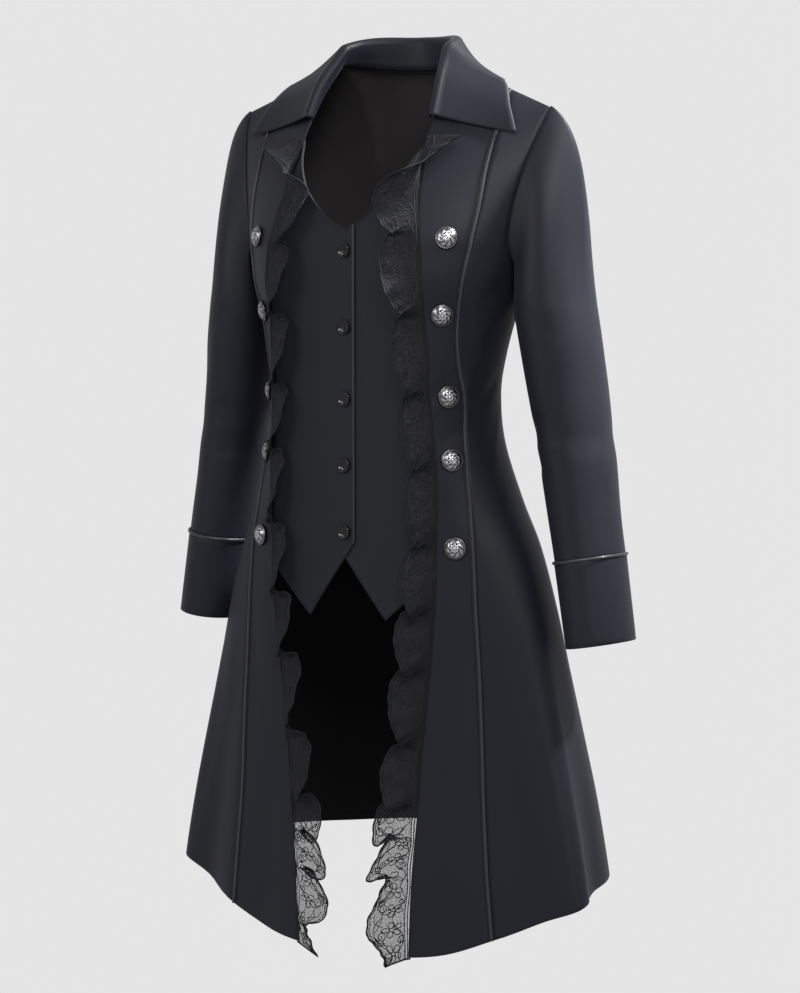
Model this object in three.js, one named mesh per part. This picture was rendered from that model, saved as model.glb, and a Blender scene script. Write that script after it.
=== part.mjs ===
// A long black tailcoat, worn open over a mock vest, in millimetres.
// The wearer faces -Y, the wearer's left is +X and +Z is up. The origin lies between the shoulders,
// at the height of the neck seam, where the wearer's shoulders carry the coat.
import * as THREE from "three";

// Thicknesses and gaps
const CLOTH = 1.4;
const VEST_CLOTH = 1.2;
const COLLAR_CLOTH = 2;
const CUFF_CLOTH = 2;
const LACE_CLOTH = 1;
const SEAM_GAP = 0.34;

// Body of the coat below the arms. A row is one level of the body: half of its width, its depth in
// front of and behind the middle line, where that line lies, and the distance from the centre of
// the front edge, of the front princess seam and of the back princess seam.
const BODY_ROWS = [
  { height: -190, halfWidth: 178, front: 115, back: 98, middle: -5, edge: 102, seam: 146, backSeam: 98 },
  { height: -232, halfWidth: 167, front: 120, back: 95, middle: -7, edge: 105, seam: 138, backSeam: 88 },
  { height: -272, halfWidth: 154, front: 115, back: 87, middle: -9, edge: 104, seam: 130, backSeam: 80 },
  { height: -310, halfWidth: 144, front: 116, back: 83, middle: -11, edge: 106, seam: 127, backSeam: 74 },
  { height: -350, halfWidth: 138, front: 116, back: 82, middle: -13, edge: 106, seam: 128, backSeam: 70 },
  { height: -404, halfWidth: 142, front: 109, back: 93, middle: -15, edge: 110, seam: 131, backSeam: 74 },
  { height: -468, halfWidth: 163, front: 90, back: 114, middle: -17, edge: 112, seam: 141, backSeam: 88 },
  { height: -520, halfWidth: 186, front: 80, back: 128, middle: -18, edge: 111, seam: 148, backSeam: 98 },
  { height: -588, halfWidth: 207, front: 75, back: 136, middle: -18, edge: 108, seam: 153, backSeam: 108 },
  { height: -653, halfWidth: 221, front: 71, back: 149, middle: -18, edge: 101, seam: 157, backSeam: 116 },
  { height: -731, halfWidth: 238, front: 69, back: 164, middle: -18, edge: 92, seam: 161, backSeam: 126 },
  { height: -800, halfWidth: 253, front: 68, back: 175, middle: -18, edge: 86, seam: 164, backSeam: 134 },
  { height: -880, halfWidth: 268, front: 69, back: 181, middle: -18, edge: 79, seam: 170, backSeam: 143 },
  { height: -970, halfWidth: 282, front: 69, back: 186, middle: -18, edge: 75, seam: 179, backSeam: 152 },
];

// Shoulders. The rise goes from 0 at the chest line to 1 at the shoulder seam, and a row holds half
// of the width there and the distance from the centre of each seam and of both sides of the armhole.
const SHOULDER_ROWS = [
  { rise: 0, halfWidth: 178, edge: 102, seam: 146, frontArm: 171, backArm: 173, backSeam: 98 },
  { rise: 0.25, halfWidth: 188, edge: 92, seam: 151, frontArm: 177, backArm: 173, backSeam: 106 },
  { rise: 0.5, halfWidth: 199, edge: 84, seam: 152, frontArm: 185, backArm: 178, backSeam: 118 },
  { rise: 0.75, halfWidth: 209, edge: 81, seam: 153, frontArm: 194, backArm: 188, backSeam: 134 },
  { rise: 1, halfWidth: 218, edge: 75, seam: 150, frontArm: 202, backArm: 202, backSeam: 150 },
];
const RISES = [0, 0.14, 0.3, 0.46, 0.6, 0.7, 0.8, 0.9, 1];
const CHEST_HEIGHT = BODY_ROWS[0].height;
const SHOULDER_SLOPE = 0.39;
const FRONT_SHOULDER_ROUND = 1.2;
const BACK_SHOULDER_ROUND = 2;
const NECK = { halfWidth: 75, depth: 58, height: 5, backDrop: 5 };
const UNDERARM_DIP = 24;
const UNDERARM_ROWS = 3;

// Hem, which is lowest at the front edges. Angles go round from the front centre.
const HEM_ROWS = [
  { angle: 0, height: -972 },
  { angle: 16, height: -966 },
  { angle: 26, height: -958 },
  { angle: 40, height: -937 },
  { angle: 60, height: -912 },
  { angle: 80, height: -896 },
  { angle: 100, height: -885 },
  { angle: 116, height: -879 },
  { angle: 150, height: -867 },
  { angle: 180, height: -862 },
];
const UPPER_HEIGHTS = [-404, -350, -310, -275, -246, -218, -190];
const SKIRT_SHARES = [1, 0.84, 0.67, 0.5, 0.34, 0.2, 0.09];

// Soft folds of the skirt: the angle and half width of each in degrees, how far it stands out at
// the hem (in, where negative), and the height at which it starts.
const FOLDS = {
  left: [
    { angle: 30, wide: 8, deep: -4, from: -560 },
    { angle: 54, wide: 9, deep: -11, from: -500 },
    { angle: 74, wide: 10, deep: 7, from: -480 },
    { angle: 97, wide: 9, deep: -9, from: -540 },
    { angle: 121, wide: 8, deep: 3, from: -520 },
    { angle: 141, wide: 9, deep: -10, from: -480 },
    { angle: 166, wide: 10, deep: 7, from: -540 },
  ],
  right: [
    { angle: 29, wide: 7, deep: -4, from: -600 },
    { angle: 56, wide: 10, deep: -8, from: -520 },
    { angle: 79, wide: 9, deep: 8, from: -500 },
    { angle: 102, wide: 10, deep: -10, from: -480 },
    { angle: 124, wide: 9, deep: 6, from: -560 },
    { angle: 146, wide: 9, deep: -8, from: -520 },
    { angle: 167, wide: 9, deep: 8, from: -500 },
  ],
};
const FOLD_FULL_DROP = 420;

// Sleeves: the middle of each ring, and its half widths across and along the wearer's front.
const SLEEVE_ROWS = [
  { height: -262, x: 206, y: 6, across: 41, along: 54 },
  { height: -300, x: 212, y: 8, across: 41, along: 53 },
  { height: -340, x: 218, y: 10, across: 40, along: 52 },
  { height: -380, x: 224.5, y: 11, across: 38.5, along: 50 },
  { height: -400, x: 228, y: 11, across: 37, along: 48.5 },
  { height: -425, x: 232, y: 11, across: 38, along: 48.5 },
  { height: -470, x: 239, y: 10, across: 36.5, along: 47 },
  { height: -526, x: 248.5, y: 9, across: 35, along: 46 },
  { height: -617, x: 263, y: 8, across: 33.5, along: 45.5 },
];
const SLEEVE_TILT = 9.2;
const CAP_RINGS = 5;
const CAP_START = { x: 0.8, z: -0.6, flare: 0.12, pull: 0.85 };
const ARMHOLE_STRETCH = 1.5;
const CUFF_TOP = -526;
const CUFF_END = -617;
const CUFF_RINGS = 3;
const CUFF_PROUD = 0.9;

// Collar: how far the stand rises, how wide its fold rolls and how far the stand leans inwards, from
// the centre back (0) to the front end (1), and the fall's outer edge by its place on the shoulders.
const COLLAR_ROWS = [
  { share: 0, stand: 35.5, roll: 5.5, lean: 0 },
  { share: 0.3, stand: 33, roll: 5.5, lean: 5 },
  { share: 0.62, stand: 21.5, roll: 5, lean: 7 },
  { share: 0.82, stand: 12.5, roll: 4.4, lean: 2 },
  { share: 1, stand: 7.5, roll: 3.6, lean: 0 },
];
const COLLAR_EDGE = [
  { share: 0, x: 0, rise: 0.8, lift: 7 },
  { share: 0.25, x: 62, rise: 0.84, lift: 7 },
  { share: 0.45, x: 107, rise: 0.91, lift: 6 },
  { share: 0.66, x: 140, rise: 1, lift: 5 },
  { share: 0.85, x: 162, rise: 0.88, lift: 5.5 },
  { share: 1, x: 175, rise: 0.75, lift: 5 },
];
const COLLAR_RIDGE_SHARE = 0.66;
const COLLAR_BACK_SHARE = 0.62;
const COLLAR_FRONT_RISE = 0.7;
const COLLAR_HALF_COLUMNS = 15;
const COLLAR_FALL_ROWS = 3;
const COLLAR_SAG = 2.5;
const COLLAR_SEAT = 0.8;

// Mock vest: its top edge and the two points of its lower edge, by distance from the centre.
const VEST_TOP = [
  { x: 0, height: -174 },
  { x: 18, height: -165 },
  { x: 37, height: -149 },
  { x: 54, height: -131 },
  { x: 68, height: -108 },
  { x: 84, height: -78 },
  { x: 130, height: -40 },
];
const VEST_OVERLAP = 13;
const VEST_POINT = { x: 50, height: -597 };
const VEST_CENTRE_BOTTOM = -514;
const VEST_SIDE_SLOPE = 0.87;
const VEST_FRONT = -97;
const VEST_UNDER_FRONT = 12;
const VEST_BEHIND = 2.2;
const VEST_LAP = 0.5;
const VEST_ROWS = 12;

// Trims
const PIPING = { width: 4.6, height: 1.9, lift: 0.45 };
const LACE = { top: -74, below: 13, columns: 156, proud: 17, root: 0.4, fullness: 0.86 };

// The lace strip by height: its gathered width and the way it points, in degrees from the wearer's
// left round through the back, so that 180 is straight inwards and 270 straight forwards.
const LACE_ROWS = [
  { height: -74, width: 52, heading: 194 },
  { height: -175, width: 41, heading: 196 },
  { height: -265, width: 35, heading: 200 },
  { height: -350, width: 31, heading: 203 },
  { height: -420, width: 28, heading: 205 },
  { height: -500, width: 30, heading: 206 },
  { height: -590, width: 34, heading: 203 },
  { height: -660, width: 36, heading: 199 },
  { height: -730, width: 34, heading: 195 },
  { height: -850, width: 44, heading: 187 },
  { height: -985, width: 40, heading: 184 },
];
const LACE_TURN = { outward: 366, start: -142, end: -82, pinch: 0.55, over: 1.55 };
const LACE_WAVE = { lean: 2.9, swing: 0.3, drop: 12, sag: 0.25, dropLean: 0.2 };

// Folds of the lace: the height at which each one reaches furthest out.
const LACE_FOLDS = {
  left: [
    { height: -1070, number: 0 },
    { height: -965, number: 1 },
    { height: -857, number: 2 },
    { height: -760, number: 3 },
    { height: -678, number: 4 },
    { height: -610, number: 5 },
    { height: -545, number: 6 },
    { height: -461, number: 7 },
    { height: -381, number: 8 },
    { height: -300, number: 9 },
    { height: -209, number: 10 },
    { height: -130, number: 11 },
    { height: -60, number: 12 },
  ],
  right: [
    { height: -1030, number: 0 },
    { height: -953, number: 1 },
    { height: -876, number: 2 },
    { height: -771, number: 3 },
    { height: -671, number: 4 },
    { height: -602, number: 5 },
    { height: -532, number: 6 },
    { height: -446, number: 7 },
    { height: -374, number: 8 },
    { height: -299, number: 9 },
    { height: -219, number: 10 },
    { height: -141, number: 11 },
    { height: -70, number: 12 },
  ],
};

// Buttons
const SILVER_BUTTON = { radius: 11.8, height: 5.6, line: 127, heights: [-183, -265, -353, -421, -515] };
const VEST_BUTTON = { radius: 7.4, height: 2.6, heights: [-197, -280, -358, -430, -503] };
const BUTTON_LIFT = 0.7;
const BUTTON_SIDES = 14;

const COLOURS = {
  cloth: { color: 0x17181b, roughness: 0.6, metalness: 0 },
  vest: { color: 0x131416, roughness: 0.7, metalness: 0 },
  satin: { color: 0x26272b, roughness: 0.35, metalness: 0 },
  lace: { color: 0x101012, roughness: 0.8, metalness: 0 },
  silver: { color: 0xb9b9bc, roughness: 0.3, metalness: 1 },
  shell: { color: 0x0b0b0c, roughness: 0.25, metalness: 0 },
};

const coat = new THREE.Group();
const radians = THREE.MathUtils.degToRad;

// Smooth value of one column of a table, whose rows are in order of the column `by`.
function lookup(rows, by, key, at) {
  const sign = rows[1][by] > rows[0][by] ? 1 : -1;
  let i = 0;
  while (i < rows.length - 2 && sign * (at - rows[i + 1][by]) > 0) i += 1;
  const slope = (k) => {
    const low = rows[Math.max(k - 1, 0)];
    const high = rows[Math.min(k + 1, rows.length - 1)];
    return (high[key] - low[key]) / (high[by] - low[by]);
  };
  const from = rows[i];
  const to = rows[i + 1];
  const span = to[by] - from[by];
  const t = THREE.MathUtils.clamp((at - from[by]) / span, 0, 1);
  const rest = 1 - t;
  return (
    from[key] * (1 + 2 * t) * rest * rest +
    slope(i) * span * t * rest * rest +
    to[key] * t * t * (3 - 2 * t) -
    slope(i + 1) * span * t * t * rest
  );
}

function foldDepth(side, angle, height) {
  const degrees = THREE.MathUtils.radToDeg(angle);
  return FOLDS[side].reduce((sum, fold) => {
    const grown = THREE.MathUtils.smoothstep(fold.from - height, 0, FOLD_FULL_DROP);
    return sum + fold.deep * grown * Math.exp(-(((degrees - fold.angle) / fold.wide) ** 2));
  }, 0);
}

// Point of the coat's outside below the arms, on the wearer's left. The angle goes round from the
// front centre to the back centre.
function lowerPoint(side, angle, height) {
  const depthKey = Math.cos(angle) > 0 ? "front" : "back";
  const halfWidth = lookup(BODY_ROWS, "height", "halfWidth", height);
  const depth = lookup(BODY_ROWS, "height", depthKey, height);
  const middle = lookup(BODY_ROWS, "height", "middle", height);
  const out = new THREE.Vector2(Math.sin(angle) / halfWidth, -Math.cos(angle) / depth).normalize();
  const fold = foldDepth(side, angle, height);
  return new THREE.Vector3(
    halfWidth * Math.sin(angle) + out.x * fold,
    middle - depth * Math.cos(angle) + out.y * fold,
    height,
  );
}

// Point of the coat's outside between the chest line and the shoulder seam or back neck.
function upperPoint(angle, rise) {
  const x = lookup(SHOULDER_ROWS, "rise", "halfWidth", rise) * Math.sin(angle);
  const isBack = Math.cos(angle) < 0;
  const chest = BODY_ROWS[0].middle - BODY_ROWS[0][isBack ? "back" : "front"] * Math.cos(angle);
  const inNeck = Math.max(1 - (x / NECK.halfWidth) ** 2, 0);
  const ridge = isBack ? NECK.depth * Math.sqrt(inNeck) : 0;
  const top = NECK.height - (inNeck > 0 ? NECK.backDrop * inNeck : SHOULDER_SLOPE * (x - NECK.halfWidth));
  const round = isBack ? BACK_SHOULDER_ROUND : FRONT_SHOULDER_ROUND;
  const fall = (1 - rise ** round) ** (1 / round);
  return new THREE.Vector3(x, ridge + (chest - ridge) * fall, CHEST_HEIGHT + rise * (top - CHEST_HEIGHT));
}

// A level is a height in millimetres up to the chest line, and above it the chest line plus the rise.
function bodyPoint(side, angle, level) {
  if (level <= CHEST_HEIGHT) return lowerPoint(side, angle, level);
  return upperPoint(angle, Math.min(level - CHEST_HEIGHT, 1));
}

const levelOfRise = (rise) => CHEST_HEIGHT + rise;

function bodyNormal(side, angle, level) {
  const turn = 0.01;
  const isUpper = level > CHEST_HEIGHT;
  const step = isUpper ? 0.02 : 2;
  const highest = levelOfRise(0.995);
  const around = bodyPoint(side, angle + turn, level).sub(bodyPoint(side, angle - turn, level));
  const upper = Math.min(level + step, isUpper ? highest : CHEST_HEIGHT);
  const lower = isUpper ? Math.max(Math.min(level, highest) - step, CHEST_HEIGHT) : level - step;
  const above = bodyPoint(side, angle, upper);
  const below = bodyPoint(side, angle, lower);
  const normal = new THREE.Vector3().crossVectors(around, above.sub(below)).normalize();
  const point = bodyPoint(side, angle, level);
  if (isUpper && point.x > NECK.halfWidth - 1) {
    const ridge = new THREE.Vector3(SHOULDER_SLOPE, 0, 1).normalize();
    normal.lerp(ridge, THREE.MathUtils.smoothstep(level - CHEST_HEIGHT, 0.86, 1)).normalize();
  }
  return normal;
}

// Angle at which a seam or edge of the tables lies at a level.
function lineAngle(name, level) {
  const isBack = name.startsWith("back");
  const isUpper = level > CHEST_HEIGHT;
  const rows = isUpper ? SHOULDER_ROWS : BODY_ROWS;
  const by = isUpper ? "rise" : "height";
  const at = isUpper ? level - CHEST_HEIGHT : level;
  const sine = lookup(rows, by, name, at) / lookup(rows, by, "halfWidth", at);
  return isBack ? Math.PI - Math.asin(sine) : Math.asin(sine);
}

// Angle that moves a point sideways by a distance along the cloth.
function angleOf(side, angle, level, distance) {
  const step = 0.01;
  const across = bodyPoint(side, angle + step, level).distanceTo(bodyPoint(side, angle - step, level));
  return (distance * 2 * step) / across;
}

const hemHeight = (angle) => lookup(HEM_ROWS, "angle", "height", THREE.MathUtils.radToDeg(angle));

// Heights of a skirt row at an angle: shares of the way from the waist to the hem.
function skirtHeight(share, angle) {
  const waist = UPPER_HEIGHTS[0];
  return waist + (hemHeight(angle) - waist) * share;
}

// The rows of every body panel, from the hem up: each gives the level of a point at an angle.
const LOWER_ROWS = [
  ...SKIRT_SHARES.map((share) => (angle) => skirtHeight(share, angle)),
  ...UPPER_HEIGHTS.map((height) => () => height),
];
const UPPER_ROWS = RISES.slice(1).map((rise) => () => levelOfRise(rise));

// Where a seam crosses a row: its angle and level, which depend on each other at the hem.
function crossing(name, row) {
  let level = row(radians(60));
  for (let i = 0; i < 8; i += 1) level = row(lineAngle(name, level));
  return { angle: lineAngle(name, level), level };
}

// Closed wall from cells, rows upwards and columns round the body, each cell the outer and inner
// point of the cloth or null where there is none.
function clothWall(cells, { wraps = false, mirrored = false } = {}) {
  const positions = [];
  const index = [];
  let count = 0;
  const numbers = cells.map((row) =>
    row.map((cell) => {
      if (!cell) return -1;
      positions.push(...cell.outer.toArray(), ...cell.inner.toArray());
      count += 2;
      return count - 2;
    }),
  );
  const columns = cells[0].length;
  const spans = wraps ? columns : columns - 1;
  const at = (row, column) => numbers[row][column % columns];
  const hasQuad = (row, column) => {
    const wrapped = wraps ? (column + spans) % spans : column;
    if (row < 0 || row >= cells.length - 1 || wrapped < 0 || wrapped >= spans) return false;
    return [at(row, wrapped), at(row, wrapped + 1), at(row + 1, wrapped), at(row + 1, wrapped + 1)].every(
      (n) => n >= 0,
    );
  };
  const face = (a, b, c, d) => {
    if (mirrored) index.push(a, c, b, a, d, c);
    else index.push(a, b, c, a, c, d);
  };
  for (let row = 0; row < cells.length - 1; row += 1) {
    for (let column = 0; column < spans; column += 1) {
      if (!hasQuad(row, column)) continue;
      const a = at(row, column);
      const b = at(row, column + 1);
      const c = at(row + 1, column + 1);
      const d = at(row + 1, column);
      face(a, b, c, d);
      face(a + 1, d + 1, c + 1, b + 1);
      if (!hasQuad(row - 1, column)) face(b, a, a + 1, b + 1);
      if (!hasQuad(row, column + 1)) face(c, b, b + 1, c + 1);
      if (!hasQuad(row + 1, column)) face(d, c, c + 1, d + 1);
      if (!hasQuad(row, column - 1)) face(a, d, d + 1, a + 1);
    }
  }
  const geometry = new THREE.BufferGeometry();
  geometry.setAttribute("position", new THREE.Float32BufferAttribute(positions, 3));
  geometry.setIndex(index);
  geometry.computeVertexNormals();
  return geometry;
}

function addMesh(name, geometry, colour, place) {
  const mesh = new THREE.Mesh(geometry, new THREE.MeshStandardMaterial(COLOURS[colour]));
  mesh.name = name;
  if (place) place(mesh);
  coat.add(mesh);
  return mesh;
}

const mirrorFor = (side) => (side === "left" ? 1 : -1);
const mirrored = (point, side) => new THREE.Vector3(point.x * mirrorFor(side), point.y, point.z);

// Outer and inner point of the body cloth, moved along Y where it meets the shoulder seam.
function bodyCell(side, angle, level) {
  const outer = bodyPoint(side, angle, level);
  const normal = bodyNormal(side, angle, level);
  const isSeam = level > levelOfRise(0.999) && outer.x > NECK.halfWidth - 0.5;
  if (isSeam) outer.y += (Math.cos(angle) < 0 ? 0.5 : -0.5) * SEAM_GAP;
  const inner = outer.clone().addScaledVector(normal, -CLOTH);
  return { outer: mirrored(outer, side), inner: mirrored(inner, side) };
}

// Panel between two lines, with its columns at shares of the angle between them.
function panelRow(side, row, from, to, shares, fromGap, toGap) {
  const start = from === "centreBack" ? { angle: Math.PI, level: row(Math.PI) } : crossing(from, row);
  const end = to === "centreBack" ? { angle: Math.PI, level: row(Math.PI) } : crossing(to, row);
  const first = start.angle + angleOf(side, start.angle, start.level, fromGap);
  const last = end.angle - angleOf(side, end.angle, end.level, toGap);
  return shares.map((share) => {
    const angle = THREE.MathUtils.lerp(first, last, share);
    return bodyCell(side, angle, row(angle));
  });
}

const evenShares = (count) => Array.from({ length: count + 1 }, (_, i) => i / count);
const HALF_GAP = SEAM_GAP / 2;

// Front: one long panel on each side, from the open front edge to the princess seam.
function addFront(side) {
  const rows = [...LOWER_ROWS, ...UPPER_ROWS];
  const cells = rows.map((row) => panelRow(side, row, "edge", "seam", evenShares(5), 0, HALF_GAP));
  addMesh(`front_${side}`, clothWall(cells, { mirrored: side === "right" }), "cloth");
}

// Back: one panel on each side of the centre back seam, with half of the neck in its top edge.
const BACK_SHARES = [0, 0.25, 0.5, 0.53, 0.6, 0.7, 0.84, 1];
function addBack(side) {
  const rows = [...LOWER_ROWS, ...UPPER_ROWS];
  const cells = rows.map((row) => {
    const seam = crossing("backSeam", row);
    const seamSine = Math.sin(seam.angle);
    return BACK_SHARES.map((share) => {
      let angle = Math.PI - Math.asin(seamSine * (1 - share));
      if (share === 0) angle += angleOf(side, angle, row(angle), HALF_GAP);
      if (share === 1) angle -= angleOf(side, angle, row(angle), HALF_GAP);
      return bodyCell(side, angle, row(angle));
    });
  });
  addMesh(`back_${side}`, clothWall(cells, { mirrored: side === "right" }), "cloth");
}

// Side: one panel on each side, from the front princess seam round under the arm to the back one.
// Its top edge is the armhole, between a narrow horn in front and a wider one behind.
const FRONT_HORN = 3;
const UNDERARM = 6;
const BACK_HORN = 5;

// Share of the side panel's width at which a column lies, the same at every level below the arm.
function sideShares() {
  const seam = lineAngle("seam", CHEST_HEIGHT);
  const backSeam = lineAngle("backSeam", CHEST_HEIGHT);
  const chestRow = SHOULDER_ROWS[0];
  const frontArm = Math.asin(chestRow.frontArm / chestRow.halfWidth);
  const backArm = Math.PI - Math.asin(chestRow.backArm / chestRow.halfWidth);
  const shareOf = (angle) => (angle - seam) / (backSeam - seam);
  const between = (from, to, count) => evenShares(count).slice(1).map((t) => from + (to - from) * t);
  return [
    0,
    ...between(0, shareOf(frontArm), FRONT_HORN),
    ...between(shareOf(frontArm), shareOf(backArm), UNDERARM),
    ...between(shareOf(backArm), 1, BACK_HORN),
  ];
}

// How far a column of the side panel dips below the chest line under the arm.
function underarmDip(column, rowsBelowChest) {
  const along = (column - FRONT_HORN) / UNDERARM;
  if (along <= 0 || along >= 1 || rowsBelowChest >= UNDERARM_ROWS) return 0;
  return UNDERARM_DIP * Math.sin(Math.PI * along) ** 0.8 * (1 - rowsBelowChest / UNDERARM_ROWS);
}

function underarmLevel(column) {
  return CHEST_HEIGHT - underarmDip(column, 0);
}

function sideAngle(side, row, share) {
  const start = crossing("seam", row);
  const end = crossing("backSeam", row);
  const first = start.angle + angleOf(side, start.angle, start.level, HALF_GAP);
  const last = end.angle - angleOf(side, end.angle, end.level, HALF_GAP);
  return THREE.MathUtils.lerp(first, last, share);
}

function addSide(side) {
  const shares = sideShares();
  const lower = LOWER_ROWS.map((row, i) => {
    const rowsBelowChest = LOWER_ROWS.length - 1 - i;
    return shares.map((share, column) => {
      const angle = sideAngle(side, row, share);
      return bodyCell(side, angle, row(angle) - underarmDip(column, rowsBelowChest));
    });
  });
  const upper = UPPER_ROWS.map((row) => {
    const front = panelRow(side, row, "seam", "frontArm", evenShares(FRONT_HORN), HALF_GAP, 0);
    const back = panelRow(side, row, "backArm", "backSeam", evenShares(BACK_HORN), 0, HALF_GAP);
    return [...front, ...Array(UNDERARM - 1).fill(null), ...back];
  });
  // The wall has no cloth between the horns, so their rows are two runs of the same grid.
  const geometry = clothWall([...lower, ...upper], { mirrored: side === "right" });
  addMesh(`side_${side}`, geometry, "cloth");
}

// Armhole: points round the edge of the side panel, from the shoulder down the front, under the arm
// and up the back, each with the cloth's own normal.
function armhole(side) {
  const shares = sideShares();
  const ring = [];
  const add = (angle, level) => {
    ring.push({ point: bodyPoint(side, angle, level), normal: bodyNormal(side, angle, level) });
  };
  [...RISES].reverse().forEach((rise) => {
    const level = levelOfRise(rise);
    const chestAngle = sideAngle(side, () => CHEST_HEIGHT, shares[FRONT_HORN]);
    add(rise > 0 ? lineAngle("frontArm", level) : chestAngle, level);
  });
  for (let column = FRONT_HORN + 1; column < FRONT_HORN + UNDERARM; column += 1) {
    add(sideAngle(side, () => CHEST_HEIGHT, shares[column]), underarmLevel(column));
  }
  RISES.slice(0, -1).forEach((rise) => {
    const level = levelOfRise(rise);
    const chestAngle = sideAngle(side, () => CHEST_HEIGHT, shares[FRONT_HORN + UNDERARM]);
    add(rise > 0 ? lineAngle("backArm", level) : chestAngle, level);
  });
  return ring;
}

// Ring of a sleeve: a point at a share of the way round, starting at its outermost point and going
// forwards, as the armhole does from the shoulder.
function sleeveRing(height, turn, proud) {
  const key = (name) => lookup(SLEEVE_ROWS, "height", name, height);
  const across = (key("across") + proud) * Math.cos(turn);
  const along = (key("along") + proud) * Math.sin(turn);
  const tilt = radians(SLEEVE_TILT);
  return new THREE.Vector3(
    key("x") + across * Math.cos(tilt),
    key("y") - along,
    height + across * Math.sin(tilt),
  );
}

// Cells of a grid of outer points, whose inner points lie behind them along the grid's own normals.
function thickCells(rows, thickness, wraps) {
  const columns = rows[0].length;
  const neighbour = (row, column) =>
    row[wraps ? (column + columns) % columns : THREE.MathUtils.clamp(column, 0, columns - 1)];
  return rows.map((row, r) =>
    row.map((outer, c) => {
      const above = rows[Math.min(r + 1, rows.length - 1)][c];
      const below = rows[Math.max(r - 1, 0)][c];
      const normal = new THREE.Vector3()
        .crossVectors(neighbour(row, c + 1).clone().sub(neighbour(row, c - 1)), above.clone().sub(below))
        .normalize();
      return { outer, inner: outer.clone().addScaledVector(normal, -thickness) };
    }),
  );
}

const mirrorCell = (cell, side) => ({ outer: mirrored(cell.outer, side), inner: mirrored(cell.inner, side) });
const mirrorCells = (cells, side) => cells.map((row) => row.map((cell) => mirrorCell(cell, side)));

function addSleeve(side) {
  const ring = armhole(side);
  const count = ring.length;
  const centre = ring.reduce((sum, edge) => sum.add(edge.point), new THREE.Vector3()).divideScalar(count);
  const turns = armholeTurns(ring, centre);
  const start = ring.map((edge) => {
    const radial = edge.point.clone().sub(centre);
    radial.x = 0;
    radial.normalize();
    const inner = edge.point.clone().addScaledVector(edge.normal, SEAM_GAP);
    return { inner, outer: inner.clone().addScaledVector(radial, CLOTH), radial };
  });
  const topHeight = SLEEVE_ROWS[0].height;
  const down = new THREE.Vector3(Math.sin(radians(SLEEVE_TILT)), 0, -Math.cos(radians(SLEEVE_TILT)));
  const rings = [start.map((cell) => cell.outer)];
  for (let r = 1; r <= CAP_RINGS; r += 1) {
    const t = r / CAP_RINGS;
    rings.push(
      start.map((cell, i) => {
        const end = sleeveRing(topHeight, turns[i], 0);
        const reach = end.distanceTo(cell.outer);
        const leave = new THREE.Vector3(CAP_START.x, 0, CAP_START.z);
        leave.addScaledVector(cell.radial, CAP_START.flare).setLength(reach * CAP_START.pull);
        const arrive = down.clone().multiplyScalar(reach);
        return hermite(cell.outer, leave, end, arrive, t);
      }),
    );
  }
  const heights = SLEEVE_ROWS.slice(1).map((row) => row.height).filter((height) => height > CUFF_TOP);
  [...heights, CUFF_TOP].forEach((height) => rings.push(turns.map((turn) => sleeveRing(height, turn, 0))));
  const cells = thickCells(rings, CLOTH, true);
  cells[0] = start.map(({ outer, inner }) => ({ outer, inner }));
  const geometry = clothWall(mirrorCells(cells, side), { wraps: true, mirrored: side === "right" });
  addMesh(`sleeve_${side}`, geometry, "cloth");
}

// How far round the sleeve each armhole point leads: the shoulder to its outside, the underarm to
// its inside.
function armholeTurns(ring, centre) {
  return ring.map((edge) => {
    const away = edge.point.clone().sub(centre);
    const isLowerBack = away.z < 0 && away.y > 0;
    return Math.atan2(-away.y * ARMHOLE_STRETCH, away.z) + (isLowerBack ? 2 * Math.PI : 0);
  });
}

function hermite(from, leave, to, arrive, t) {
  const rest = 1 - t;
  return new THREE.Vector3()
    .addScaledVector(from, (1 + 2 * t) * rest * rest)
    .addScaledVector(leave, t * rest * rest)
    .addScaledVector(to, t * t * (3 - 2 * t))
    .addScaledVector(arrive, -t * t * rest);
}

// Cuff: a doubled band below the satin piping, open at the wrist.
const CUFF_COLUMNS = 24;
const ringTurns = (count) => Array.from({ length: count }, (_, i) => (2 * Math.PI * i) / count);

function addCuff(side) {
  const drop = (CUFF_END - CUFF_TOP + SEAM_GAP) / CUFF_RINGS;
  const rings = evenShares(CUFF_RINGS).map((_, i) => {
    const height = CUFF_TOP - SEAM_GAP + drop * i;
    return ringTurns(CUFF_COLUMNS).map((turn) => sleeveRing(height, turn, CUFF_PROUD));
  });
  const cells = mirrorCells(thickCells(rings, CUFF_CLOTH, true), side);
  addMesh(`cuff_${side}`, clothWall(cells, { wraps: true, mirrored: side === "right" }), "cloth");
}

// Section of the piping: across and out from the cloth that it lies on.
const PIPING_SECTION = [
  { across: -0.5, out: 0 },
  { across: 0.5, out: 0 },
  { across: 0.36, out: 0.75 },
  { across: 0, out: 1 },
  { across: -0.36, out: 0.75 },
];

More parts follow.
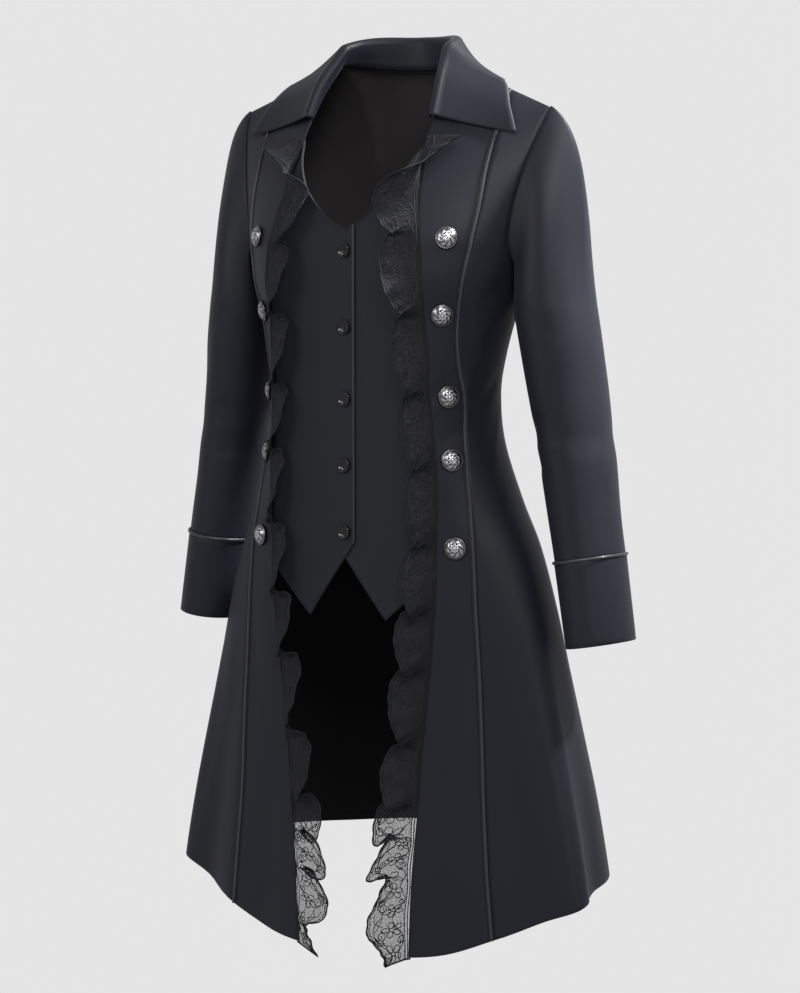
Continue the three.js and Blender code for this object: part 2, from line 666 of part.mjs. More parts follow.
// Solid cord from frames along a line: each has its point, the way out and the way across.
function cordGeometry(frames, closed, isMirrored) {
  const sides = PIPING_SECTION.length;
  const positions = [];
  frames.forEach((frame) => {
    PIPING_SECTION.forEach((corner) => {
      const point = frame.point
        .clone()
        .addScaledVector(frame.out, PIPING.lift + corner.out * PIPING.height)
        .addScaledVector(frame.across, corner.across * PIPING.width);
      positions.push(...point.toArray());
    });
  });
  const index = [];
  const face = (a, b, c) => (isMirrored ? index.push(a, c, b) : index.push(a, b, c));
  const spans = closed ? frames.length : frames.length - 1;
  for (let i = 0; i < spans; i += 1) {
    const j = (i + 1) % frames.length;
    for (let k = 0; k < sides; k += 1) {
      const m = (k + 1) % sides;
      face(i * sides + k, i * sides + m, j * sides + m);
      face(i * sides + k, j * sides + m, j * sides + k);
    }
  }
  if (!closed) {
    const last = (frames.length - 1) * sides;
    for (let k = 1; k < sides - 1; k += 1) {
      face(0, k + 1, k);
      face(last, last + k, last + k + 1);
    }
  }
  const geometry = new THREE.BufferGeometry();
  geometry.setAttribute("position", new THREE.Float32BufferAttribute(positions, 3));
  geometry.setIndex(index);
  geometry.computeVertexNormals();
  return geometry;
}

// Satin piping over the front princess seam, from the hem to the shoulder.
function addFrontPiping(side) {
  const frames = [...LOWER_ROWS, ...UPPER_ROWS.slice(0, -1)].map((row) => {
    const { angle, level } = crossing("seam", row);
    const out = bodyNormal(side, angle, level);
    const across = bodyPoint(side, angle + 0.01, level).sub(bodyPoint(side, angle - 0.01, level));
    across.addScaledVector(out, -across.dot(out)).normalize();
    return {
      point: mirrored(bodyPoint(side, angle, level), side),
      out: mirrored(out, side),
      across: mirrored(across, side),
    };
  });
  addMesh(`piping_front_${side}`, cordGeometry(frames, false, side === "left"), "satin");
}

// Satin piping round the sleeve, over the seam of the cuff.
function addCuffPiping(side) {
  const frames = ringTurns(CUFF_COLUMNS).map((turn) => {
    const point = sleeveRing(CUFF_TOP, turn, CUFF_PROUD);
    const next = sleeveRing(CUFF_TOP, turn + 0.01, CUFF_PROUD);
    const down = sleeveRing(CUFF_TOP - 1, turn, CUFF_PROUD).sub(point).normalize();
    const out = new THREE.Vector3().crossVectors(next.sub(point), down).normalize();
    return { point: mirrored(point, side), out: mirrored(out, side), across: mirrored(down, side) };
  });
  addMesh(`piping_cuff_${side}`, cordGeometry(frames, true, side === "right"), "satin");
}

// Neckline, from the centre back round to the front end of the collar, on the wearer's left.
function necklinePoint(share) {
  if (share <= COLLAR_BACK_SHARE) {
    const turn = ((share / COLLAR_BACK_SHARE) * Math.PI) / 2;
    const x = NECK.halfWidth * Math.sin(turn);
    const y = NECK.depth * Math.cos(turn);
    const z = NECK.height - NECK.backDrop * Math.cos(turn) ** 2;
    return {
      point: new THREE.Vector3(x, y, z),
      up: new THREE.Vector3(0, 0, 1),
      out: new THREE.Vector3(Math.sin(turn), Math.cos(turn), 0),
    };
  }
  const along = (share - COLLAR_BACK_SHARE) / (1 - COLLAR_BACK_SHARE);
  const level = levelOfRise(THREE.MathUtils.lerp(1, COLLAR_FRONT_RISE, along));
  const angle = lineAngle("edge", level);
  const normal = bodyNormal("left", angle, level);
  const up = new THREE.Vector3(0, 0, 1).lerp(normal, THREE.MathUtils.smoothstep(along, 0, 0.8)).normalize();
  const out = new THREE.Vector3(1, 0, 0);
  out.addScaledVector(up, -out.dot(up)).normalize();
  return { point: bodyPoint("left", angle, level), up, out };
}

function collarEdgePoint(share) {
  const x = lookup(COLLAR_EDGE, "share", "x", share);
  const rise = Math.min(lookup(COLLAR_EDGE, "share", "rise", share), 0.999);
  const lift = lookup(COLLAR_EDGE, "share", "lift", share);
  const halfWidth = lookup(SHOULDER_ROWS, "rise", "halfWidth", rise);
  const isBack = share < COLLAR_RIDGE_SHARE;
  const sine = Math.max(x, 0) / halfWidth;
  const angle = isBack ? Math.PI - Math.asin(sine) : Math.asin(sine);
  const level = levelOfRise(rise);
  return bodyPoint("left", angle, level).addScaledVector(bodyNormal("left", angle, level), lift);
}

// Collar: one doubled piece, with a stand that rises from the neckline, rolls over and falls to its
// pointed ends. The visible face is the outer point of each cell.
function collarColumn(share) {
  const { point, up, out } = necklinePoint(share);
  const stand = lookup(COLLAR_ROWS, "share", "stand", share);
  const roll = lookup(COLLAR_ROWS, "share", "roll", share);
  const inside = COLLAR_CLOTH + 0.6;
  const place = (outward, upward) =>
    point.clone().addScaledVector(out, outward).addScaledVector(up, upward);
  const lean = lookup(COLLAR_ROWS, "share", "lean", share);
  const rollCentre = { out: roll - inside - lean, up: stand - roll };
  const onRoll = (degrees) =>
    place(
      rollCentre.out - roll * Math.cos(radians(degrees)),
      rollCentre.up + roll * Math.sin(radians(degrees)),
    );
  const middle = place(-inside - lean * 0.4, (COLLAR_SEAT + rollCentre.up) / 2);
  const column = [place(-inside, COLLAR_SEAT), middle, onRoll(0), onRoll(50), onRoll(95), onRoll(140)];
  const from = onRoll(140);
  const to = collarEdgePoint(share);
  const rowsOfFall = evenShares(COLLAR_FALL_ROWS).slice(1);
  rowsOfFall.forEach((t) => {
    const sag = COLLAR_SAG * Math.sin(Math.PI * t);
    column.push(from.clone().lerp(to, t).addScaledVector(up, -sag));
  });
  return column;
}

function addCollar() {
  const half = evenShares(COLLAR_HALF_COLUMNS).map((share) => collarColumn(share));
  const right = half.slice(1).map((column) => column.map((point) => mirrored(point, "right")));
  const columns = [...half.reverse(), ...right];
  const rows = half[0].map((_, r) => columns.map((column) => column[r]));
  const cells = thickCells(rows, COLLAR_CLOTH, false);
  addMesh("collar", clothWall(cells), "cloth");
}

// Depth of the mock vest's outside at a distance from the centre. Between the front edges it is
// nearly flat, and past them it follows the inside of the fronts.
function vestDepth(x, height) {
  const edgeX = frontEdgeX(height);
  const under = (distance) => frontInside(distance, height);
  if (x >= edgeX) return under(x);
  const edgeDepth = under(edgeX);
  return edgeDepth + (VEST_FRONT - edgeDepth) * (1 - (x / edgeX) ** 2);
}

// Highest level of the front edge table is the shoulder seam, so a height there becomes a rise.
function levelAt(x, height) {
  if (height <= CHEST_HEIGHT) return height;
  const top = NECK.height - SHOULDER_SLOPE * (x - NECK.halfWidth);
  return levelOfRise(Math.min((height - CHEST_HEIGHT) / (top - CHEST_HEIGHT), 1));
}

function frontEdgeX(height) {
  const level = levelAt(NECK.halfWidth, height);
  return bodyPoint("left", lineAngle("edge", level), level).x;
}

function frontInside(x, height) {
  const level = levelAt(x, height);
  const isUpper = level > CHEST_HEIGHT;
  const halfWidth = isUpper
    ? lookup(SHOULDER_ROWS, "rise", "halfWidth", level - CHEST_HEIGHT)
    : lookup(BODY_ROWS, "height", "halfWidth", level);
  const angle = Math.asin(x / halfWidth);
  const normal = bodyNormal("left", angle, level);
  const inside = bodyPoint("left", angle, level).addScaledVector(normal, -CLOTH);
  return inside.y + VEST_BEHIND / Math.abs(normal.y);
}

// Mock vest: two panels that lap at the centre, sewn behind the front edges, with a low neck and
// two points below. The wearer's right panel lies over the left one.
function vestBottom(x) {
  const fromCentre = VEST_POINT.x - x;
  const centreSlope = (VEST_CENTRE_BOTTOM - VEST_POINT.height) / (VEST_POINT.x + VEST_OVERLAP);
  return VEST_POINT.height + (fromCentre > 0 ? fromCentre * centreSlope : -fromCentre * VEST_SIDE_SLOPE);
}

function addVest(side) {
  const under = side === "left" ? VEST_CLOTH + VEST_LAP : 0;
  const centreColumns = [-VEST_OVERLAP, 0, 25, VEST_POINT.x, 68];
  const edgeColumns = [0, 1];
  const columns = [...centreColumns, ...edgeColumns];
  const rows = evenShares(VEST_ROWS).map((up) =>
    columns.map((column, i) => {
      const isEdge = i >= centreColumns.length;
      let x = column;
      let height = 0;
      for (let pass = 0; pass < 6; pass += 1) {
        if (isEdge) x = frontEdgeX(height || UPPER_HEIGHTS[0]) + column * VEST_UNDER_FRONT;
        const top = lookup(VEST_TOP, "x", "height", Math.abs(x));
        height = THREE.MathUtils.lerp(vestBottom(x), top, up);
      }
      return new THREE.Vector3(x, vestDepth(Math.abs(x), height) + under, height);
    }),
  );
  const cells = mirrorCells(thickCells(rows, VEST_CLOTH, false), side);
  addMesh(`vest_${side}`, clothWall(cells, { mirrored: side === "right" }), "vest");
}

// Point of the lace's face at a share of its length, from the hem up, and of its width.
function lacePoint(side, share, t) {
  const hemLevel = HEM_ROWS[1].height;
  const bottom = hemHeight(lineAngle("edge", hemLevel)) - LACE.below;
  const height = THREE.MathUtils.lerp(bottom, LACE.top, share);
  const level = levelAt(frontEdgeX(Math.max(height, hemLevel)), height);
  const turned = THREE.MathUtils.smoothstep(height, LACE_TURN.start, LACE_TURN.end);
  const inward = lookup(LACE_ROWS, "height", "heading", height);
  const heading = radians(THREE.MathUtils.lerp(inward, LACE_TURN.outward, turned));
  const along = new THREE.Vector3(Math.cos(heading), Math.sin(heading), 0);
  const proud = new THREE.Vector3(-along.y, along.x, 0);
  const phase = 2 * Math.PI * lookup(LACE_FOLDS[side], "height", "number", height) - LACE_WAVE.lean;
  const pinched = 1 - LACE_TURN.pinch * Math.sin(Math.PI * turned);
  const swing = LACE_WAVE.swing * Math.cos(phase + LACE_WAVE.lean);
  const width = lookup(LACE_ROWS, "height", "width", height) * pinched * (LACE.fullness + swing);
  const wave = 0.5 + 0.5 * Math.sin(phase);
  const lift = LACE.proud * t * wave * (1 - LACE_TURN.over * turned);
  const fall = LACE_WAVE.sag + Math.sin(phase + LACE_WAVE.dropLean);
  const point = bodyPoint(side, lineAngle("edge", level), level);
  const normal = bodyNormal(side, lineAngle("edge", level), level);
  point.addScaledVector(normal, LACE.root + LACE_CLOTH * turned);
  point.x -= LACE.root + LACE_CLOTH;
  point.addScaledVector(along, width * t);
  point.addScaledVector(proud, lift);
  point.z -= LACE_WAVE.drop * t * fall * (1 - turned);
  return point;
}

// Lace: a strip gathered into folds along each front edge, which turns outwards under the collar.
function addLace(side) {
  const step = 0.0005;
  const rows = [0, 0.5, 1].map((t) =>
    evenShares(LACE.columns).map((share) => {
      const point = lacePoint(side, share, t);
      const rising = lacePoint(side, share + step, t).sub(lacePoint(side, share - step, t));
      const across = lacePoint(side, share, t + step).sub(lacePoint(side, share, t - step));
      const back = rising.cross(across).normalize().multiplyScalar(-LACE_CLOTH);
      return { outer: mirrored(point, side), inner: mirrored(point.clone().add(back), side) };
    }),
  );
  addMesh(`lace_${side}`, clothWall(rows, { mirrored: side === "right" }), "lace");
}

// Silver button: a domed metal button with a raised rim, by its half section.
function silverButtonGeometry() {
  const { radius, height } = SILVER_BUTTON;
  const profile = [
    [0, 0],
    [radius * 0.9, 0],
    [radius, height * 0.16],
    [radius * 0.97, height * 0.36],
    [radius * 0.85, height * 0.42],
    [radius * 0.6, height * 0.8],
    [radius * 0.3, height * 0.96],
    [0, height],
  ];
  return new THREE.LatheGeometry(profile.map(([x, y]) => new THREE.Vector2(x, y)), BUTTON_SIDES);
}

// Vest button: a small disc with a raised rim round a dished centre.
function vestButtonGeometry() {
  const { radius, height } = VEST_BUTTON;
  const profile = [
    [0, 0],
    [radius * 0.86, 0],
    [radius, height * 0.45],
    [radius * 0.88, height],
    [radius * 0.68, height * 0.8],
    [0, height * 0.55],
  ];
  return new THREE.LatheGeometry(profile.map(([x, y]) => new THREE.Vector2(x, y)), BUTTON_SIDES);
}

// Puts a button, whose axis is +Y, on a surface point with its top facing along the normal.
function seatButton(mesh, point, normal) {
  mesh.quaternion.setFromUnitVectors(new THREE.Vector3(0, 1, 0), normal);
  mesh.position.copy(point).addScaledVector(normal, BUTTON_LIFT);
}

function addSilverButtons(side) {
  SILVER_BUTTON.heights.forEach((height, i) => {
    const level = levelAt(SILVER_BUTTON.line, height);
    const angle = (lineAngle("edge", level) + lineAngle("seam", level)) / 2;
    const point = mirrored(bodyPoint(side, angle, level), side);
    const normal = mirrored(bodyNormal(side, angle, level), side);
    const name = `silver_button_${side}_${i + 1}`;
    addMesh(name, silverButtonGeometry(), "silver", (mesh) => seatButton(mesh, point, normal));
  });
}

function addVestButtons() {
  VEST_BUTTON.heights.forEach((height, i) => {
    const point = new THREE.Vector3(0, vestDepth(0, height), height);
    const normal = new THREE.Vector3(0, -1, 0);
    const name = `vest_button_${i + 1}`;
    addMesh(name, vestButtonGeometry(), "shell", (mesh) => seatButton(mesh, point, normal));
  });
}

["left", "right"].forEach((side) => {
  addFront(side);
  addSide(side);
  addBack(side);
  addSleeve(side);
  addCuff(side);
  addFrontPiping(side);
  addCuffPiping(side);
  addVest(side);
  addLace(side);
  addSilverButtons(side);
});
addCollar();
addVestButtons();

export default coat;
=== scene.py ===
import math

import bpy
import numpy as np
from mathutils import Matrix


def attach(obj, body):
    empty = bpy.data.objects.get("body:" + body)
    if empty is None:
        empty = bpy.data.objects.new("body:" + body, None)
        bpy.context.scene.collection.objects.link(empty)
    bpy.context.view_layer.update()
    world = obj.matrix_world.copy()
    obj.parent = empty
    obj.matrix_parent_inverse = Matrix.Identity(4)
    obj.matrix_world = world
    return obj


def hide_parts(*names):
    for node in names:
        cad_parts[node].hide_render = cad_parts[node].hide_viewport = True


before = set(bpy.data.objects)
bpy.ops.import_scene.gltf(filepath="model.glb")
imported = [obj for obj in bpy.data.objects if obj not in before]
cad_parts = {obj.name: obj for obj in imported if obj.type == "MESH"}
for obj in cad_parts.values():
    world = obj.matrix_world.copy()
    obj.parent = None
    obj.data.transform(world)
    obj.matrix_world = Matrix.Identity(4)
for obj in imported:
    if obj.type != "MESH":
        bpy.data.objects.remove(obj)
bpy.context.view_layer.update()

# Fronts: one long panel on each side, from the open edge to the princess seam. The real cloth is a
# dense charcoal satin-backed weave over a dark lining, cut long and pressed flat along its seams.
MM = 0.001
CLOTH = 1.4
SEAM_GAP = 0.34
HALF_GAP = SEAM_GAP / 2
EDGE_BULGE = 0.3
FOLD_FULL_DROP = 420
WAIST = -404
SHOULDER_SLOPE = 0.39
FRONT_SHOULDER_ROUND = 1.2
BACK_SHOULDER_ROUND = 2
NECK_HALF_WIDTH = 75
NECK_DEPTH = 58
NECK_HEIGHT = 5
NECK_BACK_DROP = 5
DEGREE_WIDTH = 3.0
CREASE_BOW = 0.06
CHARCOAL = (0.0098, 0.0104, 0.0160)
# Lining colours: a warm dark tone lightened by painted light near the neck, and painted shade that darkens
# the lining to nearly black down in the skirt, blended between two heights.
LINING_WARM_PAINTED_LIGHT = (0.030, 0.027, 0.029)
LINING_PAINTED_SHADE = (0.0030, 0.0030, 0.0032)
LINING_SHADE_BELOW = -0.42
LINING_LIT_ABOVE = -0.26
SIDES = ("left", "right")


def table(names, rows):
    """A table with named columns, as one array for each column."""
    return dict(zip(names, np.array(rows, float).T))


BODY = table(
    ("height", "half_width", "front", "back", "middle", "edge", "seam", "back_seam"),
    [
        (-190, 178, 115, 98, -5, 102, 146, 98),
        (-232, 167, 120, 95, -7, 105, 138, 88),
        (-272, 154, 115, 87, -9, 104, 130, 80),
        (-310, 144, 116, 83, -11, 106, 127, 74),
        (-350, 138, 116, 82, -13, 106, 128, 70),
        (-404, 142, 109, 93, -15, 110, 131, 74),
        (-468, 163, 90, 114, -17, 112, 141, 88),
        (-520, 186, 80, 128, -18, 111, 148, 98),
        (-588, 207, 75, 136, -18, 108, 153, 108),
        (-653, 221, 71, 149, -18, 101, 157, 116),
        (-731, 238, 69, 164, -18, 92, 161, 126),
        (-800, 253, 68, 175, -18, 86, 164, 134),
        (-880, 268, 69, 181, -18, 79, 170, 143),
        (-970, 282, 69, 186, -18, 75, 179, 152),
    ],
)
SHOULDERS = table(
    ("rise", "half_width", "edge", "seam", "front_arm", "back_arm", "back_seam"),
    [
        (0, 178, 102, 146, 171, 173, 98),
        (0.25, 188, 92, 151, 177, 173, 106),
        (0.5, 199, 84, 152, 185, 178, 118),
        (0.75, 209, 81, 153, 194, 188, 134),
        (1, 218, 75, 150, 202, 202, 150),
    ],
)
HEM = table(
    ("angle", "height"),
    [
        (0, -972),
        (16, -966),
        (26, -958),
        (40, -937),
        (60, -912),
        (80, -896),
        (100, -885),
        (116, -879),
        (150, -867),
        (180, -862),
    ],
)
CHEST = BODY["height"][0]

# Soft folds of the skirt: angle, half width, depth at the hem and the height where each starts.
FOLDS = {
    "left": [
        (30, 8, -4, -560),
        (54, 9, -11, -500),
        (74, 10, 7, -480),
        (97, 9, -9, -540),
        (121, 8, 3, -520),
        (141, 9, -10, -480),
        (166, 10, 7, -540),
    ],
    "right": [
        (29, 7, -4, -600),
        (56, 10, -8, -520),
        (79, 9, 8, -500),
        (102, 10, -10, -480),
        (124, 9, 6, -560),
        (146, 9, -8, -520),
        (167, 9, 8, -500),
    ],
}

# Creases of the body: both ends by degrees from the front centre and height, width and depth.
CREASES = {
    "left": [
        (66, -330, 50, -352, 7, -0.9),
        (70, -362, 46, -372, 8, 0.8),
        (74, -388, 52, -404, 8, -1.0),
        (80, -300, 68, -350, 9, 0.9),
        (96, -330, 72, -392, 9, -1.2),
        (108, -360, 84, -430, 10, 0.9),
        (50, -410, 44, -520, 10, -0.8),
        (84, -225, 66, -262, 12, -1.6),
        (90, -250, 72, -300, 12, 1.1),
        (60, -600, 66, -880, 16, 1.4),
        (44, -560, 41, -860, 13, -0.9),
        (138, -300, 120, -352, 10, -1.1),
        (150, -336, 128, -392, 10, 1.0),
        (166, -90, 128, -150, 22, -1.6),
    ],
    "right": [
        (64, -336, 48, -350, 8, -0.9),
        (72, -366, 50, -380, 8, 0.9),
        (78, -392, 56, -410, 9, -1.0),
        (98, -322, 74, -380, 10, -1.1),
        (106, -356, 86, -420, 10, 1.0),
        (86, -228, 68, -258, 12, -1.5),
        (92, -256, 74, -300, 12, 1.0),
        (62, -610, 68, -890, 15, 1.5),
        (46, -580, 42, -870, 13, -1.0),
        (140, -310, 122, -360, 10, -1.0),
        (152, -344, 130, -400, 10, 0.9),
        (164, -96, 130, -156, 22, -1.5),
    ],
}


def smooth(low, high, value):
    """Smooth step from 0 to 1 between two values."""
    t = np.clip((value - low) / (high - low), 0, 1)
    return t * t * (3 - 2 * t)


def lookup(rows, by, key, at):
    """Smooth value of one column of a table at the places of another."""
    order = 1 if rows[by][1] > rows[by][0] else -1
    places = rows[by][::order]
    values = rows[key][::order]
    slopes = np.empty_like(values)
    slopes[1:-1] = (values[2:] - values[:-2]) / (places[2:] - places[:-2])
    slopes[0] = (values[1] - values[0]) / (places[1] - places[0])
    slopes[-1] = (values[-1] - values[-2]) / (places[-1] - places[-2])
    at = np.clip(at, places[0], places[-1])
    i = np.clip(np.searchsorted(places, at) - 1, 0, len(places) - 2)
    span = places[i + 1] - places[i]
    t = (at - places[i]) / span
    rest = 1 - t
    start = values[i] * (1 + 2 * t) * rest**2 + slopes[i] * span * t * rest**2
    return start + values[i + 1] * t**2 * (3 - 2 * t) - slopes[i + 1] * span * t**2 * rest


def unit(vectors):
    """Vectors of length one."""
    return vectors / np.maximum(np.linalg.norm(vectors, axis=-1, keepdims=True), 1e-9)


def fold_depth(side, angle, height):
    depth = np.zeros_like(height)
    for centre, wide, deep, start in FOLDS[side]:
        grown = smooth(0, FOLD_FULL_DROP, start - height)
        depth = depth + deep * grown * np.exp(-(((np.degrees(angle) - centre) / wide) ** 2))
    return depth


def body_point(side, angle, level):
    """Point of the coat's outside. A level is a height up to the chest line, and above it the chest
    line plus the rise, from 0 there to 1 at the shoulder seam."""
    angle, level = np.broadcast_arrays(np.asarray(angle, float), np.asarray(level, float))
    height = np.minimum(level, CHEST)
    rise = np.clip(level - CHEST, 0, 1)
    sine = np.sin(angle)
    cosine = np.cos(angle)
    is_back = cosine < 0
    half = lookup(BODY, "height", "half_width", height)
    front = lookup(BODY, "height", "front", height)
    back = lookup(BODY, "height", "back", height)
    depth = np.where(is_back, back, front)
    middle = lookup(BODY, "height", "middle", height)
    out = unit(np.stack([sine / half, -cosine / depth], -1))
    fold = fold_depth(side, angle, height)
    lower = np.stack(
        [half * sine + out[..., 0] * fold, middle - depth * cosine + out[..., 1] * fold, height], -1
    )
    x = lookup(SHOULDERS, "rise", "half_width", rise) * sine
    chest = BODY["middle"][0] - np.where(is_back, BODY["back"][0], BODY["front"][0]) * cosine
    in_neck = np.maximum(1 - (x / NECK_HALF_WIDTH) ** 2, 0)
    ridge = np.where(is_back, NECK_DEPTH * np.sqrt(in_neck), 0)
    drop = np.where(in_neck > 0, NECK_BACK_DROP * in_neck, SHOULDER_SLOPE * (x - NECK_HALF_WIDTH))
    top = NECK_HEIGHT - drop
    power = np.where(is_back, BACK_SHOULDER_ROUND, FRONT_SHOULDER_ROUND)
    fall = np.maximum(1 - rise**power, 0) ** (1 / power)
    upper = np.stack([x, ridge + (chest - ridge) * fall, CHEST + rise * (top - CHEST)], -1)
    return np.where((level <= CHEST)[..., None], lower, upper)


def body_normal(side, angle, level):
    angle, level = np.broadcast_arrays(np.asarray(angle, float), np.asarray(level, float))
    turn = 0.01
    is_upper = level > CHEST
    step = np.where(is_upper, 0.02, 2)
    highest = CHEST + 0.995
    around = body_point(side, angle + turn, level) - body_point(side, angle - turn, level)
    high = np.minimum(level + step, np.where(is_upper, highest, CHEST))
    low = np.where(is_upper, np.maximum(np.minimum(level, highest) - step, CHEST), level - step)
    rising = body_point(side, angle, high) - body_point(side, angle, low)
    normal = unit(np.cross(around, rising))
    ridge = unit(np.array([SHOULDER_SLOPE, 0, 1.0]))
    on_shoulder = is_upper & (body_point(side, angle, level)[..., 0] > NECK_HALF_WIDTH - 1)
    share = np.where(on_shoulder, smooth(0.86, 1, level - CHEST), 0)[..., None]
    return unit(normal * (1 - share) + ridge * share)


def line_angle(name, level):
    """Angle at which a seam or edge lies at a level."""
    level = np.asarray(level, float)
    rise = level - CHEST
    value = lookup(SHOULDERS, "rise", name, rise)
    half = lookup(SHOULDERS, "rise", "half_width", rise)
    if name in BODY:
        is_lower = level <= CHEST
        value = np.where(is_lower, lookup(BODY, "height", name, level), value)
        half = np.where(is_lower, lookup(BODY, "height", "half_width", level), half)
    turn = np.arcsin(value / half)
    return np.pi - turn if name.startswith("back") else turn


def row_level(row, angle):
    """Level of a panel's row: 0 is the hem, 1 the waist, 2 the chest line, 3 the shoulder seam."""
    hem = lookup(HEM, "angle", "height", np.degrees(angle))
    skirt = WAIST + (hem - WAIST) * (1 - row)
    waist = WAIST + (CHEST - WAIST) * (row - 1)
    rise = np.sin(np.clip(row - 2, 0, 1) * np.pi / 2)
    return np.where(row < 1, skirt, np.where(row < 2, waist, CHEST + rise))


def crossing(name, row):
    """Angle and level at which a seam crosses rows, which depend on each other at the hem."""
    if name == "centre_back":
        angle = np.full_like(row, np.pi)
        return angle, row_level(row, angle)
    level = row_level(row, np.full_like(row, np.radians(60)))
    for _ in range(8):
        level = row_level(row, line_angle(name, level))
    return line_angle(name, level), level


def sideways(side, angle, level, distance):
    """Angle that moves a point sideways by a distance along the cloth."""
    step = 0.01
    across = body_point(side, angle + step, level) - body_point(side, angle - step, level)
    return distance * 2 * step / np.linalg.norm(across, axis=-1)


def panel_angles(side, row, start, end, shares, start_gap=HALF_GAP, end_gap=HALF_GAP):
    """Angles and levels of a panel's grid between two lines."""
    start_angle, start_level = crossing(start, row)
    end_angle, end_level = crossing(end, row)
    first = start_angle + sideways(side, start_angle, start_level, start_gap)
    last = end_angle - sideways(side, end_angle, end_level, end_gap)
    angle = first[:, None] + (last - first)[:, None] * shares[None, :]
    return angle, row_level(row[:, None], angle)


def crease_depth(rows, across, height, degree_width=DEGREE_WIDTH):
    """Relief of soft creases, each along a line that fades out at both ends."""
    relief = np.zeros_like(across)
    for from_x, from_z, to_x, to_z, width, depth in rows:
        start = np.array([from_x * degree_width, from_z])
        along = np.array([to_x * degree_width, to_z]) - start
        length = np.hypot(*along)
        along = along / length
        dx = across - start[0]
        dz = height - start[1]
        t = (dx * along[0] + dz * along[1]) / length
        bow = CREASE_BOW * length * np.sin(np.pi * np.clip(t, 0, 1))
        off = dx * along[1] - dz * along[0] - bow
        fade = smooth(-0.15, 0.3, t) * smooth(1.15, 0.7, t)
        relief = relief + depth * fade * np.exp(-((off / width) ** 2))
    return relief


def mirror(points, side):
    return points * np.array([1 if side == "left" else -1, 1, 1])


def body_shell(side, angle, level):
    """Outer and inner points of the body's cloth, with its creases."""
    point = body_point(side, angle, level)
    normal = body_normal(side, angle, level)
    relief = crease_depth(CREASES[side], np.degrees(angle) * DEGREE_WIDTH, point[..., 2])
    is_seam = (level > CHEST + 0.999) & (point[..., 0] > NECK_HALF_WIDTH - 0.5)
    shift = np.where(np.cos(angle) < 0, HALF_GAP, -HALF_GAP)
    point[..., 1] += np.where(is_seam, shift, 0)
    outer = point + normal * relief[..., None]
    return mirror(outer, side), mirror(outer - normal * CLOTH, side)


def new_piece(name, points, faces, materials, smooth_faces=True):
    """Object of points in millimetres and their faces."""
    mesh = bpy.data.meshes.new(name)
    mesh.from_pydata((points * MM).tolist(), [], faces)
    for material in materials:
        mesh.materials.append(material)
    mesh.polygons.foreach_set("use_smooth", np.full(len(faces), smooth_faces))
    mesh.update()
    piece = bpy.data.objects.new(name, mesh)
    bpy.context.scene.collection.objects.link(piece)
    return piece


def shell_mesh(name, outer, inner, materials, wraps=False, mask=None, mirrored=False):
    """Object of a closed cloth shell over a grid, with rounded edges. A mask leaves cells out."""
    rows, columns = outer.shape[:2]
    count = rows * columns
    valid = np.ones((rows, columns), bool) if mask is None else mask
    index = np.arange(count).reshape(rows, columns)
    if wraps:
        index = np.hstack([index, index[:, :1]])
        valid = np.hstack([valid, valid[:, :1]])
    a, b, c, d = index[:-1, :-1], index[:-1, 1:], index[1:, 1:], index[1:, :-1]
    kept = valid[:-1, :-1] & valid[:-1, 1:] & valid[1:, 1:] & valid[1:, :-1]
    quads = np.stack([a, b, c, d], -1)[kept]
    padded = np.pad(kept, 1)
    if wraps:
        padded[1:-1, 0] = kept[:, -1]
        padded[1:-1, -1] = kept[:, 0]
    flat_outer = outer.reshape(-1, 3)
    flat_inner = inner.reshape(-1, 3)
    centres = flat_outer[np.stack([a, b, c, d], -1)].mean(-2)
    borders = [
        (b, a, padded[:-2, 1:-1]),
        (c, b, padded[1:-1, 2:]),
        (d, c, padded[2:, 1:-1]),
        (a, d, padded[1:-1, :-2]),
    ]
    away = np.zeros_like(flat_outer)
    edges = []
    for p, q, neighbour in borders:
        open_side = kept & ~neighbour
        edge = np.stack([p[open_side], q[open_side]], -1)
        push = unit(flat_outer[edge].mean(1) - centres[open_side])
        np.add.at(away, edge[:, 0], push)
        np.add.at(away, edge[:, 1], push)
        edges.append(edge)
    edges = np.concatenate(edges)
    thickness = np.linalg.norm(flat_outer - flat_inner, axis=-1, keepdims=True)
    middle = (flat_outer + flat_inner) / 2 + unit(away) * thickness * EDGE_BULGE
    p, q = edges[:, 0], edges[:, 1]
    faces = np.concatenate(
        [
            quads,
            quads[:, ::-1] + count,
            np.stack([p, q, q + 2 * count, p + 2 * count], -1),
            np.stack([p + 2 * count, q + 2 * count, q + count, p + count], -1),
        ]
    )
    if mirrored:
        faces = faces[:, ::-1]
    points = np.concatenate([flat_outer, flat_inner, middle])
    used, numbers = np.unique(faces, return_inverse=True)
    piece = new_piece(name, points[used], numbers.reshape(faces.shape).tolist(), materials)
    is_inside = np.zeros(len(faces), np.int32)
    is_inside[len(quads) : 2 * len(quads)] = len(materials) - 1
    piece.data.polygons.foreach_set("material_index", is_inside)
    piece.data.update()
    return piece


